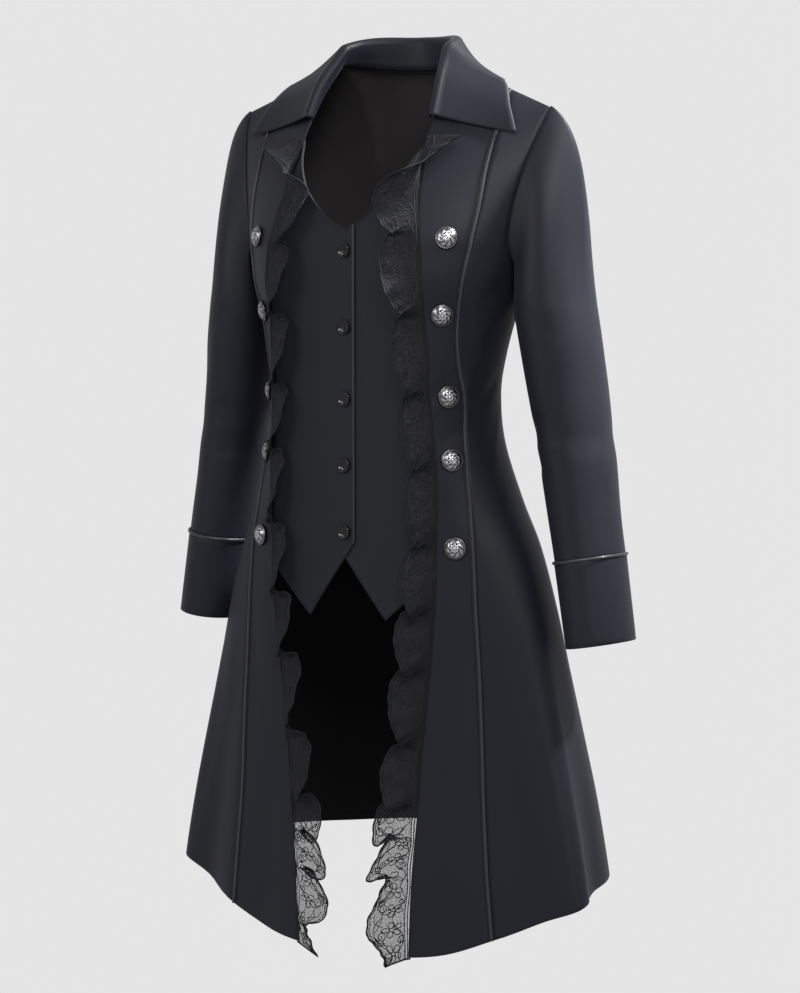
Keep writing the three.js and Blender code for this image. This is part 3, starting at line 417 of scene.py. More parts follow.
def cloth_material(name, colour, roughness, sheen, weave=0.12, weave_size=0.9):
    """Woven cloth: a soft sheen at grazing angles and a fine uneven weave."""
    material = bpy.data.materials.new(name)
    material.use_nodes = True
    nodes = material.node_tree.nodes
    links = material.node_tree.links
    shader = nodes["Principled BSDF"]
    shader.inputs["Base Color"].default_value = (*colour, 1)
    shader.inputs["Roughness"].default_value = roughness
    shader.inputs["Specular IOR Level"].default_value = 0.22
    shader.inputs["Sheen Weight"].default_value = sheen
    shader.inputs["Sheen Roughness"].default_value = 0.42
    shader.inputs["Sheen Tint"].default_value = (0.75, 0.78, 0.88, 1)
    place = nodes.new("ShaderNodeTexCoord")
    noise = nodes.new("ShaderNodeTexNoise")
    noise.inputs["Scale"].default_value = 1 / (weave_size * MM)
    noise.inputs["Detail"].default_value = 3
    bump = nodes.new("ShaderNodeBump")
    bump.inputs["Strength"].default_value = weave
    bump.inputs["Distance"].default_value = 0.2 * MM
    links.new(place.outputs["Object"], noise.inputs["Vector"])
    links.new(noise.outputs["Fac"], bump.inputs["Height"])
    links.new(bump.outputs["Normal"], shader.inputs["Normal"])
    return material


def shaded_lining_material():
    """Plain lining of a warm dark tone, with painted light that lightens it near the neck and painted
    shade that darkens it to nearly black down in the skirt.
    """
    material = bpy.data.materials.new("lining")
    material.use_nodes = True
    nodes = material.node_tree.nodes
    links = material.node_tree.links
    shader = nodes["Principled BSDF"]
    shader.inputs["Roughness"].default_value = 0.7
    shader.inputs["Specular IOR Level"].default_value = 0.12
    place = nodes.new("ShaderNodeTexCoord")
    parts = nodes.new("ShaderNodeSeparateXYZ")
    height = nodes.new("ShaderNodeMapRange")
    # Painted light and shade by height: lighter near the neck, nearly black down in the skirt.
    height.inputs["From Min"].default_value = LINING_SHADE_BELOW
    height.inputs["From Max"].default_value = LINING_LIT_ABOVE
    blend = nodes.new("ShaderNodeValToRGB")
    blend.color_ramp.elements[0].color = (*LINING_PAINTED_SHADE, 1)
    blend.color_ramp.elements[1].color = (*LINING_WARM_PAINTED_LIGHT, 1)
    links.new(place.outputs["Object"], parts.inputs["Vector"])
    links.new(parts.outputs["Z"], height.inputs["Value"])
    links.new(height.outputs["Result"], blend.inputs["Fac"])
    links.new(blend.outputs["Color"], shader.inputs["Base Color"])
    return material


def declare(piece, node):
    """A piece that stands for its CAD node of the same form."""
    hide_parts(node)
    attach(piece, "root")


coat_cloth = cloth_material("coat cloth", CHARCOAL, 0.5, 0.05)
lining = shaded_lining_material()
PANEL_ROWS = np.concatenate(
    [np.linspace(0, 1, 120), np.linspace(1, 2, 56)[1:], np.linspace(2, 3, 44)[1:]]
)
FRONT_SHARES = np.linspace(0, 1, 22)

for side in SIDES:
    angle, level = panel_angles(side, PANEL_ROWS, "edge", "seam", FRONT_SHARES, 0, HALF_GAP)
    outer, inner = body_shell(side, angle, level)
    front = shell_mesh(
        f"front_{side}_cloth", outer, inner, (coat_cloth, lining), mirrored=side == "right"
    )
    declare(front, f"front_{side}")

# Sides: one panel on each side, from the front princess seam round under the arm to the back one.
# It has no side seam, and its top edge is the armhole between a narrow horn in front and one behind.
UNDERARM_DIP = 24
UNDERARM_REACH = 85
FRONT_HORN_COLUMNS = 6
UNDERARM_COLUMNS = 16
BACK_HORN_COLUMNS = 26


def side_shares():
    """Shares of the side panel's width at its columns."""
    seam = line_angle("seam", CHEST)
    back_seam = line_angle("back_seam", CHEST)
    front_arm = (line_angle("front_arm", CHEST) - seam) / (back_seam - seam)
    back_arm = (line_angle("back_arm", CHEST) - seam) / (back_seam - seam)
    return np.concatenate(
        [
            np.linspace(0, front_arm, FRONT_HORN_COLUMNS + 1),
            np.linspace(front_arm, back_arm, UNDERARM_COLUMNS + 1)[1:],
            np.linspace(back_arm, 1, BACK_HORN_COLUMNS + 1)[1:],
        ]
    )


def underarm_dip(along, below_chest):
    """How far the armhole's lower edge dips, at a share of the way from front to back."""
    reach = np.clip(1 - below_chest / UNDERARM_REACH, 0, 1)
    return UNDERARM_DIP * np.sin(np.pi * np.clip(along, 0, 1)) ** 0.8 * reach


for side in SIDES:
    shares = side_shares()
    columns = np.arange(len(shares))
    below = PANEL_ROWS[PANEL_ROWS <= 2]
    above = PANEL_ROWS[PANEL_ROWS > 2]
    angle, level = panel_angles(side, below, "seam", "back_seam", shares)
    along = (columns - FRONT_HORN_COLUMNS) / UNDERARM_COLUMNS
    level = level - underarm_dip(along[None, :], CHEST - level)
    front_shares = np.linspace(0, 1, FRONT_HORN_COLUMNS + 1)
    back_shares = np.linspace(0, 1, BACK_HORN_COLUMNS + 1)
    horn_front = panel_angles(side, above, "seam", "front_arm", front_shares, HALF_GAP, 0)
    horn_back = panel_angles(side, above, "back_arm", "back_seam", back_shares, 0, HALF_GAP)
    between = np.full((len(above), UNDERARM_COLUMNS - 1), 1.6)
    upper_angle = np.hstack([horn_front[0], between, horn_back[0]])
    upper_level = np.hstack([horn_front[1], between * 0 + CHEST, horn_back[1]])
    angle = np.vstack([angle, upper_angle])
    level = np.vstack([level, upper_level])
    mask = np.ones(angle.shape, bool)
    under_arm = (columns > FRONT_HORN_COLUMNS) & (columns < FRONT_HORN_COLUMNS + UNDERARM_COLUMNS)
    mask[len(below) :, under_arm] = False
    outer, inner = body_shell(side, angle, level)
    panel = shell_mesh(
        f"side_{side}_cloth", outer, inner, (coat_cloth, lining), mask=mask, mirrored=side == "right"
    )
    declare(panel, f"side_{side}")

# Backs: one panel on each side of the centre back seam, with half of the neck in its top edge. The
# photo hides them, so they carry only the seams and the folds that hang from the waist.
BACK_COLUMNS = 34

for side in SIDES:
    seam_angle, _ = crossing("back_seam", PANEL_ROWS)
    shares = np.linspace(0, 1, BACK_COLUMNS)
    angle = np.pi - np.arcsin(np.sin(seam_angle)[:, None] * (1 - shares[None, :]))
    gap = sideways(side, angle, row_level(PANEL_ROWS[:, None], angle), HALF_GAP)
    angle = angle + gap * ((shares == 0).astype(float) - (shares == 1).astype(float))
    level = row_level(PANEL_ROWS[:, None], angle)
    outer, inner = body_shell(side, angle, level)
    back = shell_mesh(
        f"back_{side}_cloth", outer, inner, (coat_cloth, lining), mirrored=side == "right"
    )
    declare(back, f"back_{side}")

# Back lining: one smooth layer of the lining, with its painted light near the neck and painted shade
# low down, over the inside of the backs and the side panels behind the arms, caught at the neck and
# the hem, so that no seam shows inside.
LINING_BEHIND = CLOTH + 0.5
LINING_ARM_TURN = 0.03
LINING_CLOTH = 0.5
LINING_COLUMNS = 44

lining_rows = PANEL_ROWS[3:-1]
arm_level = row_level(lining_rows, np.full_like(lining_rows, 2.0))
arm_angle = LINING_ARM_TURN + np.where(
    lining_rows > 2, line_angle("back_arm", arm_level), line_angle("back_arm", CHEST)
)
lining_shares = np.linspace(0, 1, LINING_COLUMNS)
angle = arm_angle[:, None] + (np.pi - arm_angle)[:, None] * lining_shares[None, :]
level = row_level(lining_rows[:, None], angle)
halves = []
for side in SIDES:
    outer, inner = body_shell(side, angle, level)
    normal = unit(outer - inner)
    halves.append((outer - normal * LINING_BEHIND, normal))
grid = np.concatenate([halves[0][0], halves[1][0][:, -2::-1]], 1)
normal = np.concatenate([halves[0][1], halves[1][1][:, -2::-1]], 1)
back_lining = shell_mesh("back_lining", grid, grid - normal * LINING_CLOTH, (lining,))
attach(back_lining, "root")

# Sleeves: one-piece sleeves set into the armholes without gathers, slightly bent at the elbow. They
# are of the coat's cloth, with a soft crease down the back edge and a few at the elbow.
SLEEVES = table(
    ("height", "x", "y", "across", "along"),
    [
        (-262, 206, 6, 41, 54),
        (-300, 212, 8, 41, 53),
        (-340, 218, 10, 40, 52),
        (-380, 224.5, 11, 38.5, 50),
        (-400, 228, 11, 37, 48.5),
        (-425, 232, 11, 38, 48.5),
        (-470, 239, 10, 36.5, 47),
        (-526, 248.5, 9, 35, 46),
        (-617, 263, 8, 33.5, 45.5),
    ],
)
SLEEVE_TILT = math.radians(9.2)
CAP_ROWS = 30
CAP_LEAVE = (0.8, -0.6)
CAP_FLARE = 0.12
CAP_PULL = 0.85
ARMHOLE_STRETCH = 1.5
CUFF_TOP = -526

# Creases of the sleeves: both ends by degrees round from the outermost line forwards, and height.
SLEEVE_CREASES = {
    "left": [
        (312, -300, 322, -500, 7, -1.4),
        (330, -180, 318, -330, 10, -1.0),
        (150, -395, 95, -372, 8, -1.3),
        (160, -412, 70, -408, 7, 1.1),
        (175, -428, 100, -436, 7, -1.2),
        (220, -400, 175, -384, 8, -1.1),
        (35, -200, 50, -330, 14, 0.9),
        (20, -430, 28, -515, 10, -0.8),
        (110, -250, 70, -290, 10, -1.0),
    ],
    "right": [
        (300, -290, 318, -500, 7, -1.2),
        (60, -300, 48, -480, 9, -1.0),
        (150, -388, 85, -376, 8, -1.2),
        (165, -408, 76, -404, 7, 1.0),
        (170, -430, 96, -428, 7, -1.1),
        (215, -402, 170, -390, 8, -1.0),
        (30, -190, 44, -320, 14, 0.9),
        (112, -256, 76, -292, 10, -1.0),
    ],
}
SLEEVE_DEGREE_WIDTH = 0.8


def sleeve_ring(height, turn, proud):
    """Point of the sleeve, at a turn from its outermost line forwards."""
    across = (lookup(SLEEVES, "height", "across", height) + proud) * np.cos(turn)
    along = (lookup(SLEEVES, "height", "along", height) + proud) * np.sin(turn)
    return np.stack(
        [
            lookup(SLEEVES, "height", "x", height) + across * math.cos(SLEEVE_TILT),
            lookup(SLEEVES, "height", "y", height) - along,
            height + across * math.sin(SLEEVE_TILT),
        ],
        -1,
    )


def grid_normals(points, wraps):
    """Outward normals of a grid whose rows go on in order and whose columns go round."""
    if wraps:
        across = np.roll(points, -1, 1) - np.roll(points, 1, 1)
    else:
        across = np.gradient(points, axis=1)
    return unit(np.cross(across, np.gradient(points, axis=0)))


def armhole(side):
    """Points round the armhole from the shoulder down the front and up the back, and normals."""
    rises = np.sin(np.linspace(1, 0, 27) * np.pi / 2)
    shares = side_shares()
    chest_row = np.array([2.0])
    angles, _ = panel_angles(side, chest_row, "seam", "back_seam", shares)
    under = slice(FRONT_HORN_COLUMNS + 1, FRONT_HORN_COLUMNS + UNDERARM_COLUMNS)
    along = (np.arange(len(shares)) - FRONT_HORN_COLUMNS) / UNDERARM_COLUMNS
    angle = np.concatenate(
        [
            line_angle("front_arm", CHEST + rises),
            angles[0, under],
            line_angle("back_arm", CHEST + rises[::-1]),
        ]
    )
    level = np.concatenate(
        [
            CHEST + rises,
            CHEST - underarm_dip(along, 0)[under],
            CHEST + rises[::-1],
        ]
    )
    keep = np.ones(len(angle), bool)
    keep[-1] = False
    return body_point(side, angle, level)[keep], body_normal(side, angle, level)[keep]


for side in SIDES:
    ring, normals = armhole(side)
    away = ring - ring.mean(0)
    is_lower_back = (away[:, 2] < 0) & (away[:, 1] > 0)
    turns = np.arctan2(-away[:, 1] * ARMHOLE_STRETCH, away[:, 2]) + np.where(is_lower_back, 2 * np.pi, 0)
    turns = np.where(turns < 0, turns + 2 * np.pi * (np.arange(len(turns)) > len(turns) / 2), turns)
    radial = unit(away * np.array([0, 1, 1]))
    start_inner = ring + normals * SEAM_GAP
    start = start_inner + radial * CLOTH
    end = sleeve_ring(np.full(len(turns), SLEEVES["height"][0]), turns, 0)
    reach = np.linalg.norm(end - start, axis=-1, keepdims=True)
    leave = unit(np.array([CAP_LEAVE[0], 0, CAP_LEAVE[1]]) + radial * CAP_FLARE) * reach * CAP_PULL
    arrive = np.array([math.sin(SLEEVE_TILT), 0, -math.cos(SLEEVE_TILT)]) * reach
    rings = []
    for t in np.linspace(0, 1, CAP_ROWS):
        rest = 1 - t
        rings.append(
            start * (1 + 2 * t) * rest**2
            + leave * t * rest**2
            + end * t**2 * (3 - 2 * t)
            - arrive * t**2 * rest
        )
    heights = np.linspace(SLEEVES["height"][0], CUFF_TOP, 72)[1:]
    rings += [sleeve_ring(np.full(len(turns), height), turns, 0) for height in heights]
    grid = np.array(rings)
    normal = grid_normals(grid, True)
    across = np.degrees(turns)[None, :] * SLEEVE_DEGREE_WIDTH + grid[..., 2] * 0
    relief = crease_depth(SLEEVE_CREASES[side], across, grid[..., 2], SLEEVE_DEGREE_WIDTH)
    relief[:3] = 0
    outer = grid + normal * relief[..., None]
    inner = outer - normal * CLOTH
    inner[0] = start_inner
    sleeve = shell_mesh(
        f"sleeve_{side}_cloth",
        mirror(outer, side),
        mirror(inner, side),
        (coat_cloth, lining),
        wraps=True,
        mirrored=side == "right",
    )
    declare(sleeve, f"sleeve_{side}")

# Cuffs: doubled bands sewn on below the piping, open at the wrist, with one row of stitching close
# to the lower edge.
CUFF_END = -617
CUFF_PROUD = 0.9
CUFF_CLOTH = 2
CUFF_COLUMNS = 96
CUFF_ROWS = 20
CUFF_STITCH_ABOVE = 6
CUFF_DIP = 0.35
CUFF_DIP_WIDTH = 1.6
cuff_turns = np.linspace(0, 2 * np.pi, CUFF_COLUMNS, endpoint=False)

for side in SIDES:
    heights = np.linspace(CUFF_TOP - SEAM_GAP, CUFF_END, CUFF_ROWS)
    outer = np.array([sleeve_ring(np.full(CUFF_COLUMNS, h), cuff_turns, CUFF_PROUD) for h in heights])
    normal = grid_normals(outer, True)
    edge_dip = CUFF_DIP * np.exp(-(((heights - CUFF_END - CUFF_STITCH_ABOVE) / CUFF_DIP_WIDTH) ** 2))
    outer = outer - normal * edge_dip[:, None, None]
    cuff = shell_mesh(
        f"cuff_{side}_cloth",
        mirror(outer, side),
        mirror(outer - normal * CUFF_CLOTH, side),
        (coat_cloth, lining),
        wraps=True,
        mirrored=side == "right",
    )
    declare(cuff, f"cuff_{side}")

# Pipings: narrow bands of black satin, folded over a cord and laid over the front princess seams
# and over the seams of the cuffs.
PIPING_WIDTH = 3.6
PIPING_HEIGHT = 1.9
PIPING_LIFT = 0.1
PIPING_POINTS = 9
satin = cloth_material("piping satin", (0.036, 0.037, 0.043), 0.3, 0.06, weave=0.05)


def cord_mesh(name, points, out, across, material, closed=False, width=PIPING_WIDTH, height=PIPING_HEIGHT):
    """Object of a flat-backed cord along a line of frames."""
    around = np.linspace(0, np.pi, PIPING_POINTS)
    section = [(0.5 * math.cos(a), math.sin(a) ** 0.8) for a in around]
    lines = [
        points + out * (PIPING_LIFT + up * height) + across * (aside * width) for aside, up in section
    ]
    flip = np.cross(points[1] - points[0], across[0]) @ out[0] > 0
    grid = np.stack(lines, 1)
    count = len(points)
    spans = count if closed else count - 1
    faces = []
    for i in range(spans):
        j = (i + 1) % count
        for k in range(PIPING_POINTS):
            m = (k + 1) % PIPING_POINTS
            quad = [
                i * PIPING_POINTS + k,
                i * PIPING_POINTS + m,
                j * PIPING_POINTS + m,
                j * PIPING_POINTS + k,
            ]
            faces.append(quad[::-1] if flip else quad)
    if not closed:
        start = list(range(PIPING_POINTS))
        last = [(count - 1) * PIPING_POINTS + k for k in start]
        faces.append(start if flip else start[::-1])
        faces.append(last[::-1] if flip else last)
    return new_piece(name, grid.reshape(-1, 3), faces, (material,))


for side in SIDES:
    rows = PANEL_ROWS[:-2]
    angle, level = crossing("seam", rows)
    point = body_point(side, angle, level)
    out = body_normal(side, angle, level)
    across = body_point(side, angle + 0.01, level) - body_point(side, angle - 0.01, level)
    across = unit(across - out * (across * out).sum(-1, keepdims=True))
    relief = crease_depth(CREASES[side], np.degrees(angle) * DEGREE_WIDTH, point[:, 2])
    point = point + out * relief[:, None]
    piping = cord_mesh(
        f"piping_front_{side}_satin",
        mirror(point, side),
        mirror(out, side),
        mirror(across, side),
        satin,
    )
    declare(piping, f"piping_front_{side}")
    height = np.full(CUFF_COLUMNS, CUFF_TOP, float)
    point = sleeve_ring(height, cuff_turns, CUFF_PROUD)
    down = unit(sleeve_ring(height - 1, cuff_turns, CUFF_PROUD) - point)
    following = sleeve_ring(height, cuff_turns + 0.01, CUFF_PROUD)
    out = unit(np.cross(following - point, down))
    cuff_piping = cord_mesh(
        f"piping_cuff_{side}_satin",
        mirror(point, side),
        mirror(out, side),
        mirror(down, side),
        satin,
        closed=True,
    )
    declare(cuff_piping, f"piping_cuff_{side}")

# Collar: a stand and a fall cut in one doubled piece, with pointed ends that lie open on the
# fronts. It is of the coat's cloth, stitched close to its edge.
COLLAR = table(
    ("share", "stand", "roll", "lean"),
    [(0, 35.5, 5.5, 0), (0.3, 33, 5.5, 5), (0.62, 21.5, 5, 7), (0.82, 12.5, 4.4, 2), (1, 7.5, 3.6, 0)],
)
COLLAR_EDGE = table(
    ("share", "x", "rise", "lift"),
    [
        (0, 0, 0.8, 7),
        (0.25, 62, 0.84, 7),
        (0.45, 107, 0.91, 6),
        (0.66, 140, 1, 5),
        (0.85, 162, 0.88, 5.5),
        (1, 175, 0.75, 5),
    ],
)
COLLAR_RIDGE_SHARE = 0.66
COLLAR_BACK_SHARE = 0.62
COLLAR_FRONT_RISE = 0.7
COLLAR_CLOTH = 2
COLLAR_INSIDE = COLLAR_CLOTH + 0.6
COLLAR_SAG = 2.5
COLLAR_SEAT = 0.8
COLLAR_COLUMNS = 61
COLLAR_ROLL_STEPS = 9
COLLAR_FALL_STEPS = 16


def neckline(share):
    """Point of the neckline with its ways up and out, from the centre back to the front end."""
    if share <= COLLAR_BACK_SHARE:
        turn = share / COLLAR_BACK_SHARE * np.pi / 2
        x = NECK_HALF_WIDTH * math.sin(turn)
        y = NECK_DEPTH * math.cos(turn)
        z = NECK_HEIGHT - NECK_BACK_DROP * math.cos(turn) ** 2
        out = np.array([math.sin(turn), math.cos(turn), 0])
        return np.array([x, y, z]), np.array([0, 0, 1.0]), out
    along = (share - COLLAR_BACK_SHARE) / (1 - COLLAR_BACK_SHARE)
    level = CHEST + 1 + (COLLAR_FRONT_RISE - 1) * along
    angle = line_angle("edge", level)
    normal = body_normal("left", angle, level)
    blend = smooth(0, 0.8, along)
    up = unit(np.array([0, 0, 1.0]) * (1 - blend) + normal * blend)
    out = np.array([1.0, 0, 0])
    out = unit(out - up * (out @ up))
    return body_point("left", angle, level), up, out


def collar_edge(share):
    x = max(float(lookup(COLLAR_EDGE, "share", "x", share)), 0)
    rise = min(float(lookup(COLLAR_EDGE, "share", "rise", share)), 0.999)
    lift = lookup(COLLAR_EDGE, "share", "lift", share)
    sine = x / lookup(SHOULDERS, "rise", "half_width", rise)
    angle = np.pi - np.arcsin(sine) if share < COLLAR_RIDGE_SHARE else np.arcsin(sine)
    return body_point("left", angle, CHEST + rise) + body_normal("left", angle, CHEST + rise) * lift


def collar_column(share):
    """Visible face of the collar at a share of the way, from the neckline over the roll to its edge."""
    point, up, out = neckline(share)
    stand = lookup(COLLAR, "share", "stand", share)
    roll = lookup(COLLAR, "share", "roll", share)
    lean = lookup(COLLAR, "share", "lean", share)
    centre_out = roll - COLLAR_INSIDE - lean
    centre_up = stand - roll
    low = point - out * COLLAR_INSIDE + up * COLLAR_SEAT
    middle = point - out * (COLLAR_INSIDE + lean * 0.4) + up * (COLLAR_SEAT + centre_up) / 2
    column = [low, (low + middle) / 2, middle]
    for degrees in np.linspace(0, 140, COLLAR_ROLL_STEPS):
        turn = math.radians(degrees)
        rolled = out * (centre_out - roll * math.cos(turn)) + up * (centre_up + roll * math.sin(turn))
        column.append(point + rolled)
    start = column[-1]
    end = collar_edge(share)
    for t in np.linspace(0, 1, COLLAR_FALL_STEPS + 1)[1:]:
        column.append(start + (end - start) * t - up * COLLAR_SAG * math.sin(np.pi * t))
    return np.array(column)


half = np.array([collar_column(share) for share in np.linspace(0, 1, COLLAR_COLUMNS)])
columns = np.concatenate([half[::-1], mirror(half[1:], "right")])
collar_grid = columns.transpose(1, 0, 2)
normal = grid_normals(collar_grid, False)
collar_under = collar_grid - normal * COLLAR_CLOTH
collar = shell_mesh("collar_cloth", collar_grid, collar_under, (coat_cloth, coat_cloth))
declare(collar, "collar")

# Mock vest: two panels of a duller black cloth, lapped at the centre and sewn in behind the front
# edges, with a low neck and two points below. Their edges are bound, the lapped one in satin.
VEST_CLOTH = 1.2
VEST_TOP = table(
    ("x", "height"),
    [(0, -174), (18, -165), (37, -149), (54, -131), (68, -108), (84, -78), (130, -40)],
)
VEST_OVERLAP = 13
VEST_POINT_X = 50
VEST_POINT_HEIGHT = -597
VEST_CENTRE_BOTTOM = -514
VEST_SIDE_SLOPE = 0.87
VEST_FRONT = -97
VEST_UNDER_FRONT = 12
VEST_BEHIND = 2.2
VEST_LAP = 0.5
VEST_ROWS = 130
VEST_BINDING = 4.4
VEST_BINDING_PROUD = 0.4
BINDING_WIDTH = 1.9
CENTRE_BINDING_WIDTH = 3.4
BINDING_HEIGHT = 1.1
vest_cloth = cloth_material("vest cloth", (0.0108, 0.0116, 0.0152), 0.62, 0.03, weave=0.16)


def level_at(x, height):
    """Level of a height at a distance from the centre."""
    top = NECK_HEIGHT - SHOULDER_SLOPE * (x - NECK_HALF_WIDTH)
    rise = np.clip((height - CHEST) / (top - CHEST), 0, 1)
    return np.where(height <= CHEST, height, CHEST + rise)


def front_edge_x(height):
    level = level_at(NECK_HALF_WIDTH, height)
    return body_point("left", line_angle("edge", level), level)[..., 0]


def front_inside(x, height):
    """Depth just behind the inside of the front."""
    level = level_at(x, height)
    upper = lookup(SHOULDERS, "rise", "half_width", level - CHEST)
    lower = lookup(BODY, "height", "half_width", level)
    angle = np.arcsin(x / np.where(level > CHEST, upper, lower))
    normal = body_normal("left", angle, level)
    inside = body_point("left", angle, level) - normal * CLOTH
    return inside[..., 1] + VEST_BEHIND / np.abs(normal[..., 1])


def vest_depth(x, height):
    """Depth of the vest's outside, nearly flat between the front edges."""
    edge = front_edge_x(height)
    edge_depth = front_inside(edge, height)
    between = edge_depth + (VEST_FRONT - edge_depth) * (1 - (np.minimum(x, edge) / edge) ** 2)
    return np.where(x >= edge, front_inside(np.maximum(x, edge), height), between)


def vest_bottom(x):
    centre_slope = (VEST_CENTRE_BOTTOM - VEST_POINT_HEIGHT) / (VEST_POINT_X + VEST_OVERLAP)
    inside = (VEST_POINT_X - x) * centre_slope
    outside = (x - VEST_POINT_X) * VEST_SIDE_SLOPE
    return VEST_POINT_HEIGHT + np.where(x < VEST_POINT_X, inside, outside)


def vest_grid(side, inward_shares, outward_shares):
    """Outside of a vest panel, with the distances of its points from the edges above and below."""
    up = np.linspace(0, 1, VEST_ROWS)[:, None]
    x = np.zeros((VEST_ROWS, len(inward_shares) + len(outward_shares)))
    height = np.full(x.shape, float(WAIST))
    for _ in range(6):
        inner_x = -VEST_OVERLAP + (VEST_POINT_X + VEST_OVERLAP) * inward_shares
        reach = front_edge_x(height[:, -1:]) + VEST_UNDER_FRONT - VEST_POINT_X
        x = np.hstack([np.repeat(inner_x[None, :], VEST_ROWS, 0), VEST_POINT_X + reach * outward_shares])
        bottom = vest_bottom(x)
        top = lookup(VEST_TOP, "x", "height", np.abs(x))
        height = bottom + (top - bottom) * up
    under = VEST_CLOTH + VEST_LAP if side == "left" else 0
    grid = np.stack([x, vest_depth(np.abs(x), height) + under, height], -1)
    return grid, top - height, height - bottom


inward = np.linspace(0, 1, 22)
outward = np.linspace(0, 1, 26)[1:]
for side in SIDES:
    grid, from_top, from_bottom = vest_grid(side, inward, outward)
    from_centre = grid[..., 0] + VEST_OVERLAP if side == "right" else np.full(from_top.shape, 99.0)
    near = np.minimum(np.minimum(from_top * 0.75, from_bottom * 0.7), from_centre)
    relief = VEST_BINDING_PROUD * smooth(VEST_BINDING + 0.8, VEST_BINDING - 0.4, near)
    normal = grid_normals(grid, False)
    outer = grid + normal * relief[..., None]
    vest = shell_mesh(
        f"vest_{side}_cloth",
        mirror(outer, side),
        mirror(grid - normal * VEST_CLOTH, side),
        (vest_cloth, lining),
        mirrored=side == "right",
    )
    declare(vest, f"vest_{side}")
    borders = {"neck": (outer[-1], outer[-4], normal[-1]), "lower": (outer[0], outer[3], normal[0])}
    if side == "right":
        borders["centre"] = (outer[:, 0], outer[:, 1], normal[:, 0])
    for place, (edge, inside, out) in borders.items():
        wide = CENTRE_BINDING_WIDTH if place == "centre" else BINDING_WIDTH
        inwards = unit(inside - edge)
        inwards = unit(inwards - out * (inwards * out).sum(-1, keepdims=True))
        binding = cord_mesh(
            f"vest_binding_{place}_{side}",
            mirror(edge + inwards * wide / 2 - out * 0.3, side),
            mirror(out, side),
            mirror(inwards, side),
            satin if place == "centre" else vest_cloth,
            width=wide,
            height=BINDING_HEIGHT,
        )
        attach(binding, "root")

# Lace: a strip of machine lace gathered along each front edge, 36 mm wide and about a third longer
# than the edge. It has a fine net ground, corded flowers and leaves and a corded scalloped edge.
LACE = table(
    ("height", "width", "heading"),
    [
        (-74, 52, 194),
        (-175, 41, 196),
        (-265, 35, 200),
        (-350, 31, 203),
        (-420, 28, 205),
        (-500, 30, 206),
        (-590, 34, 203),
        (-660, 36, 199),
        (-730, 34, 195),
        (-850, 44, 187),
        (-985, 40, 184),
    ],
)
LACE_TOP = -74
LACE_BELOW = 2
LACE_END_DROP = {"left": 22, "right": 19}
LACE_END_SHARE = 0.05
LACE_PROUD = 17
LACE_ROOT = 0.4
LACE_CLOTH = 1
LACE_FULLNESS = 0.86
LACE_HEM_LEVEL = -966
LACE_TURN_OUTWARD = 366
LACE_TURN_START = -142
LACE_TURN_END = -82
LACE_TURN_PINCH = 0.55
LACE_TURN_OVER = 1.55
FOLD_LEAN = 2.9
FOLD_SWING = 0.3
FOLD_DROP = 15
FOLD_SAG = 0.25
FOLD_DROP_LEAN = 0.2
LOW_DROP_LEAN = -1.5
LOW_FOLDS = (-790, -850)
TUCK = 2.2
RIPPLE_SIZE = 1.5
RIPPLE_TURNS = 71
RUFFLE_SIZE = 4.5
LACE_SHEET_ROWS = 16
LACE_SHEET_COLUMNS = 1000
LACE_FLAT_LENGTH = 1.2
LACE_FLAT_WIDTH = 0.036
LACE_LENGTH_MM = LACE_FLAT_LENGTH * 1000
LACE_WIDTH_MM = LACE_FLAT_WIDTH * 1000
SCALLOP_LENGTH = 14.5
SCALLOP_DEPTH = 0.03
CORD_RADIUS = 0.5
EDGE_CORD_RADIUS = 1.1

# Folds of the lace: the height at which each one reaches furthest out.
LACE_FOLDS = {
    "left": (-1085, -1010, -917, -861, -817, -762, -678, -610, -545, -461, -381, -300, -209, -130, -60),
    "right": (-1080, -997, -912, -868, -824, -763, -671, -602, -532, -446, -374, -299, -219, -141, -70),
}


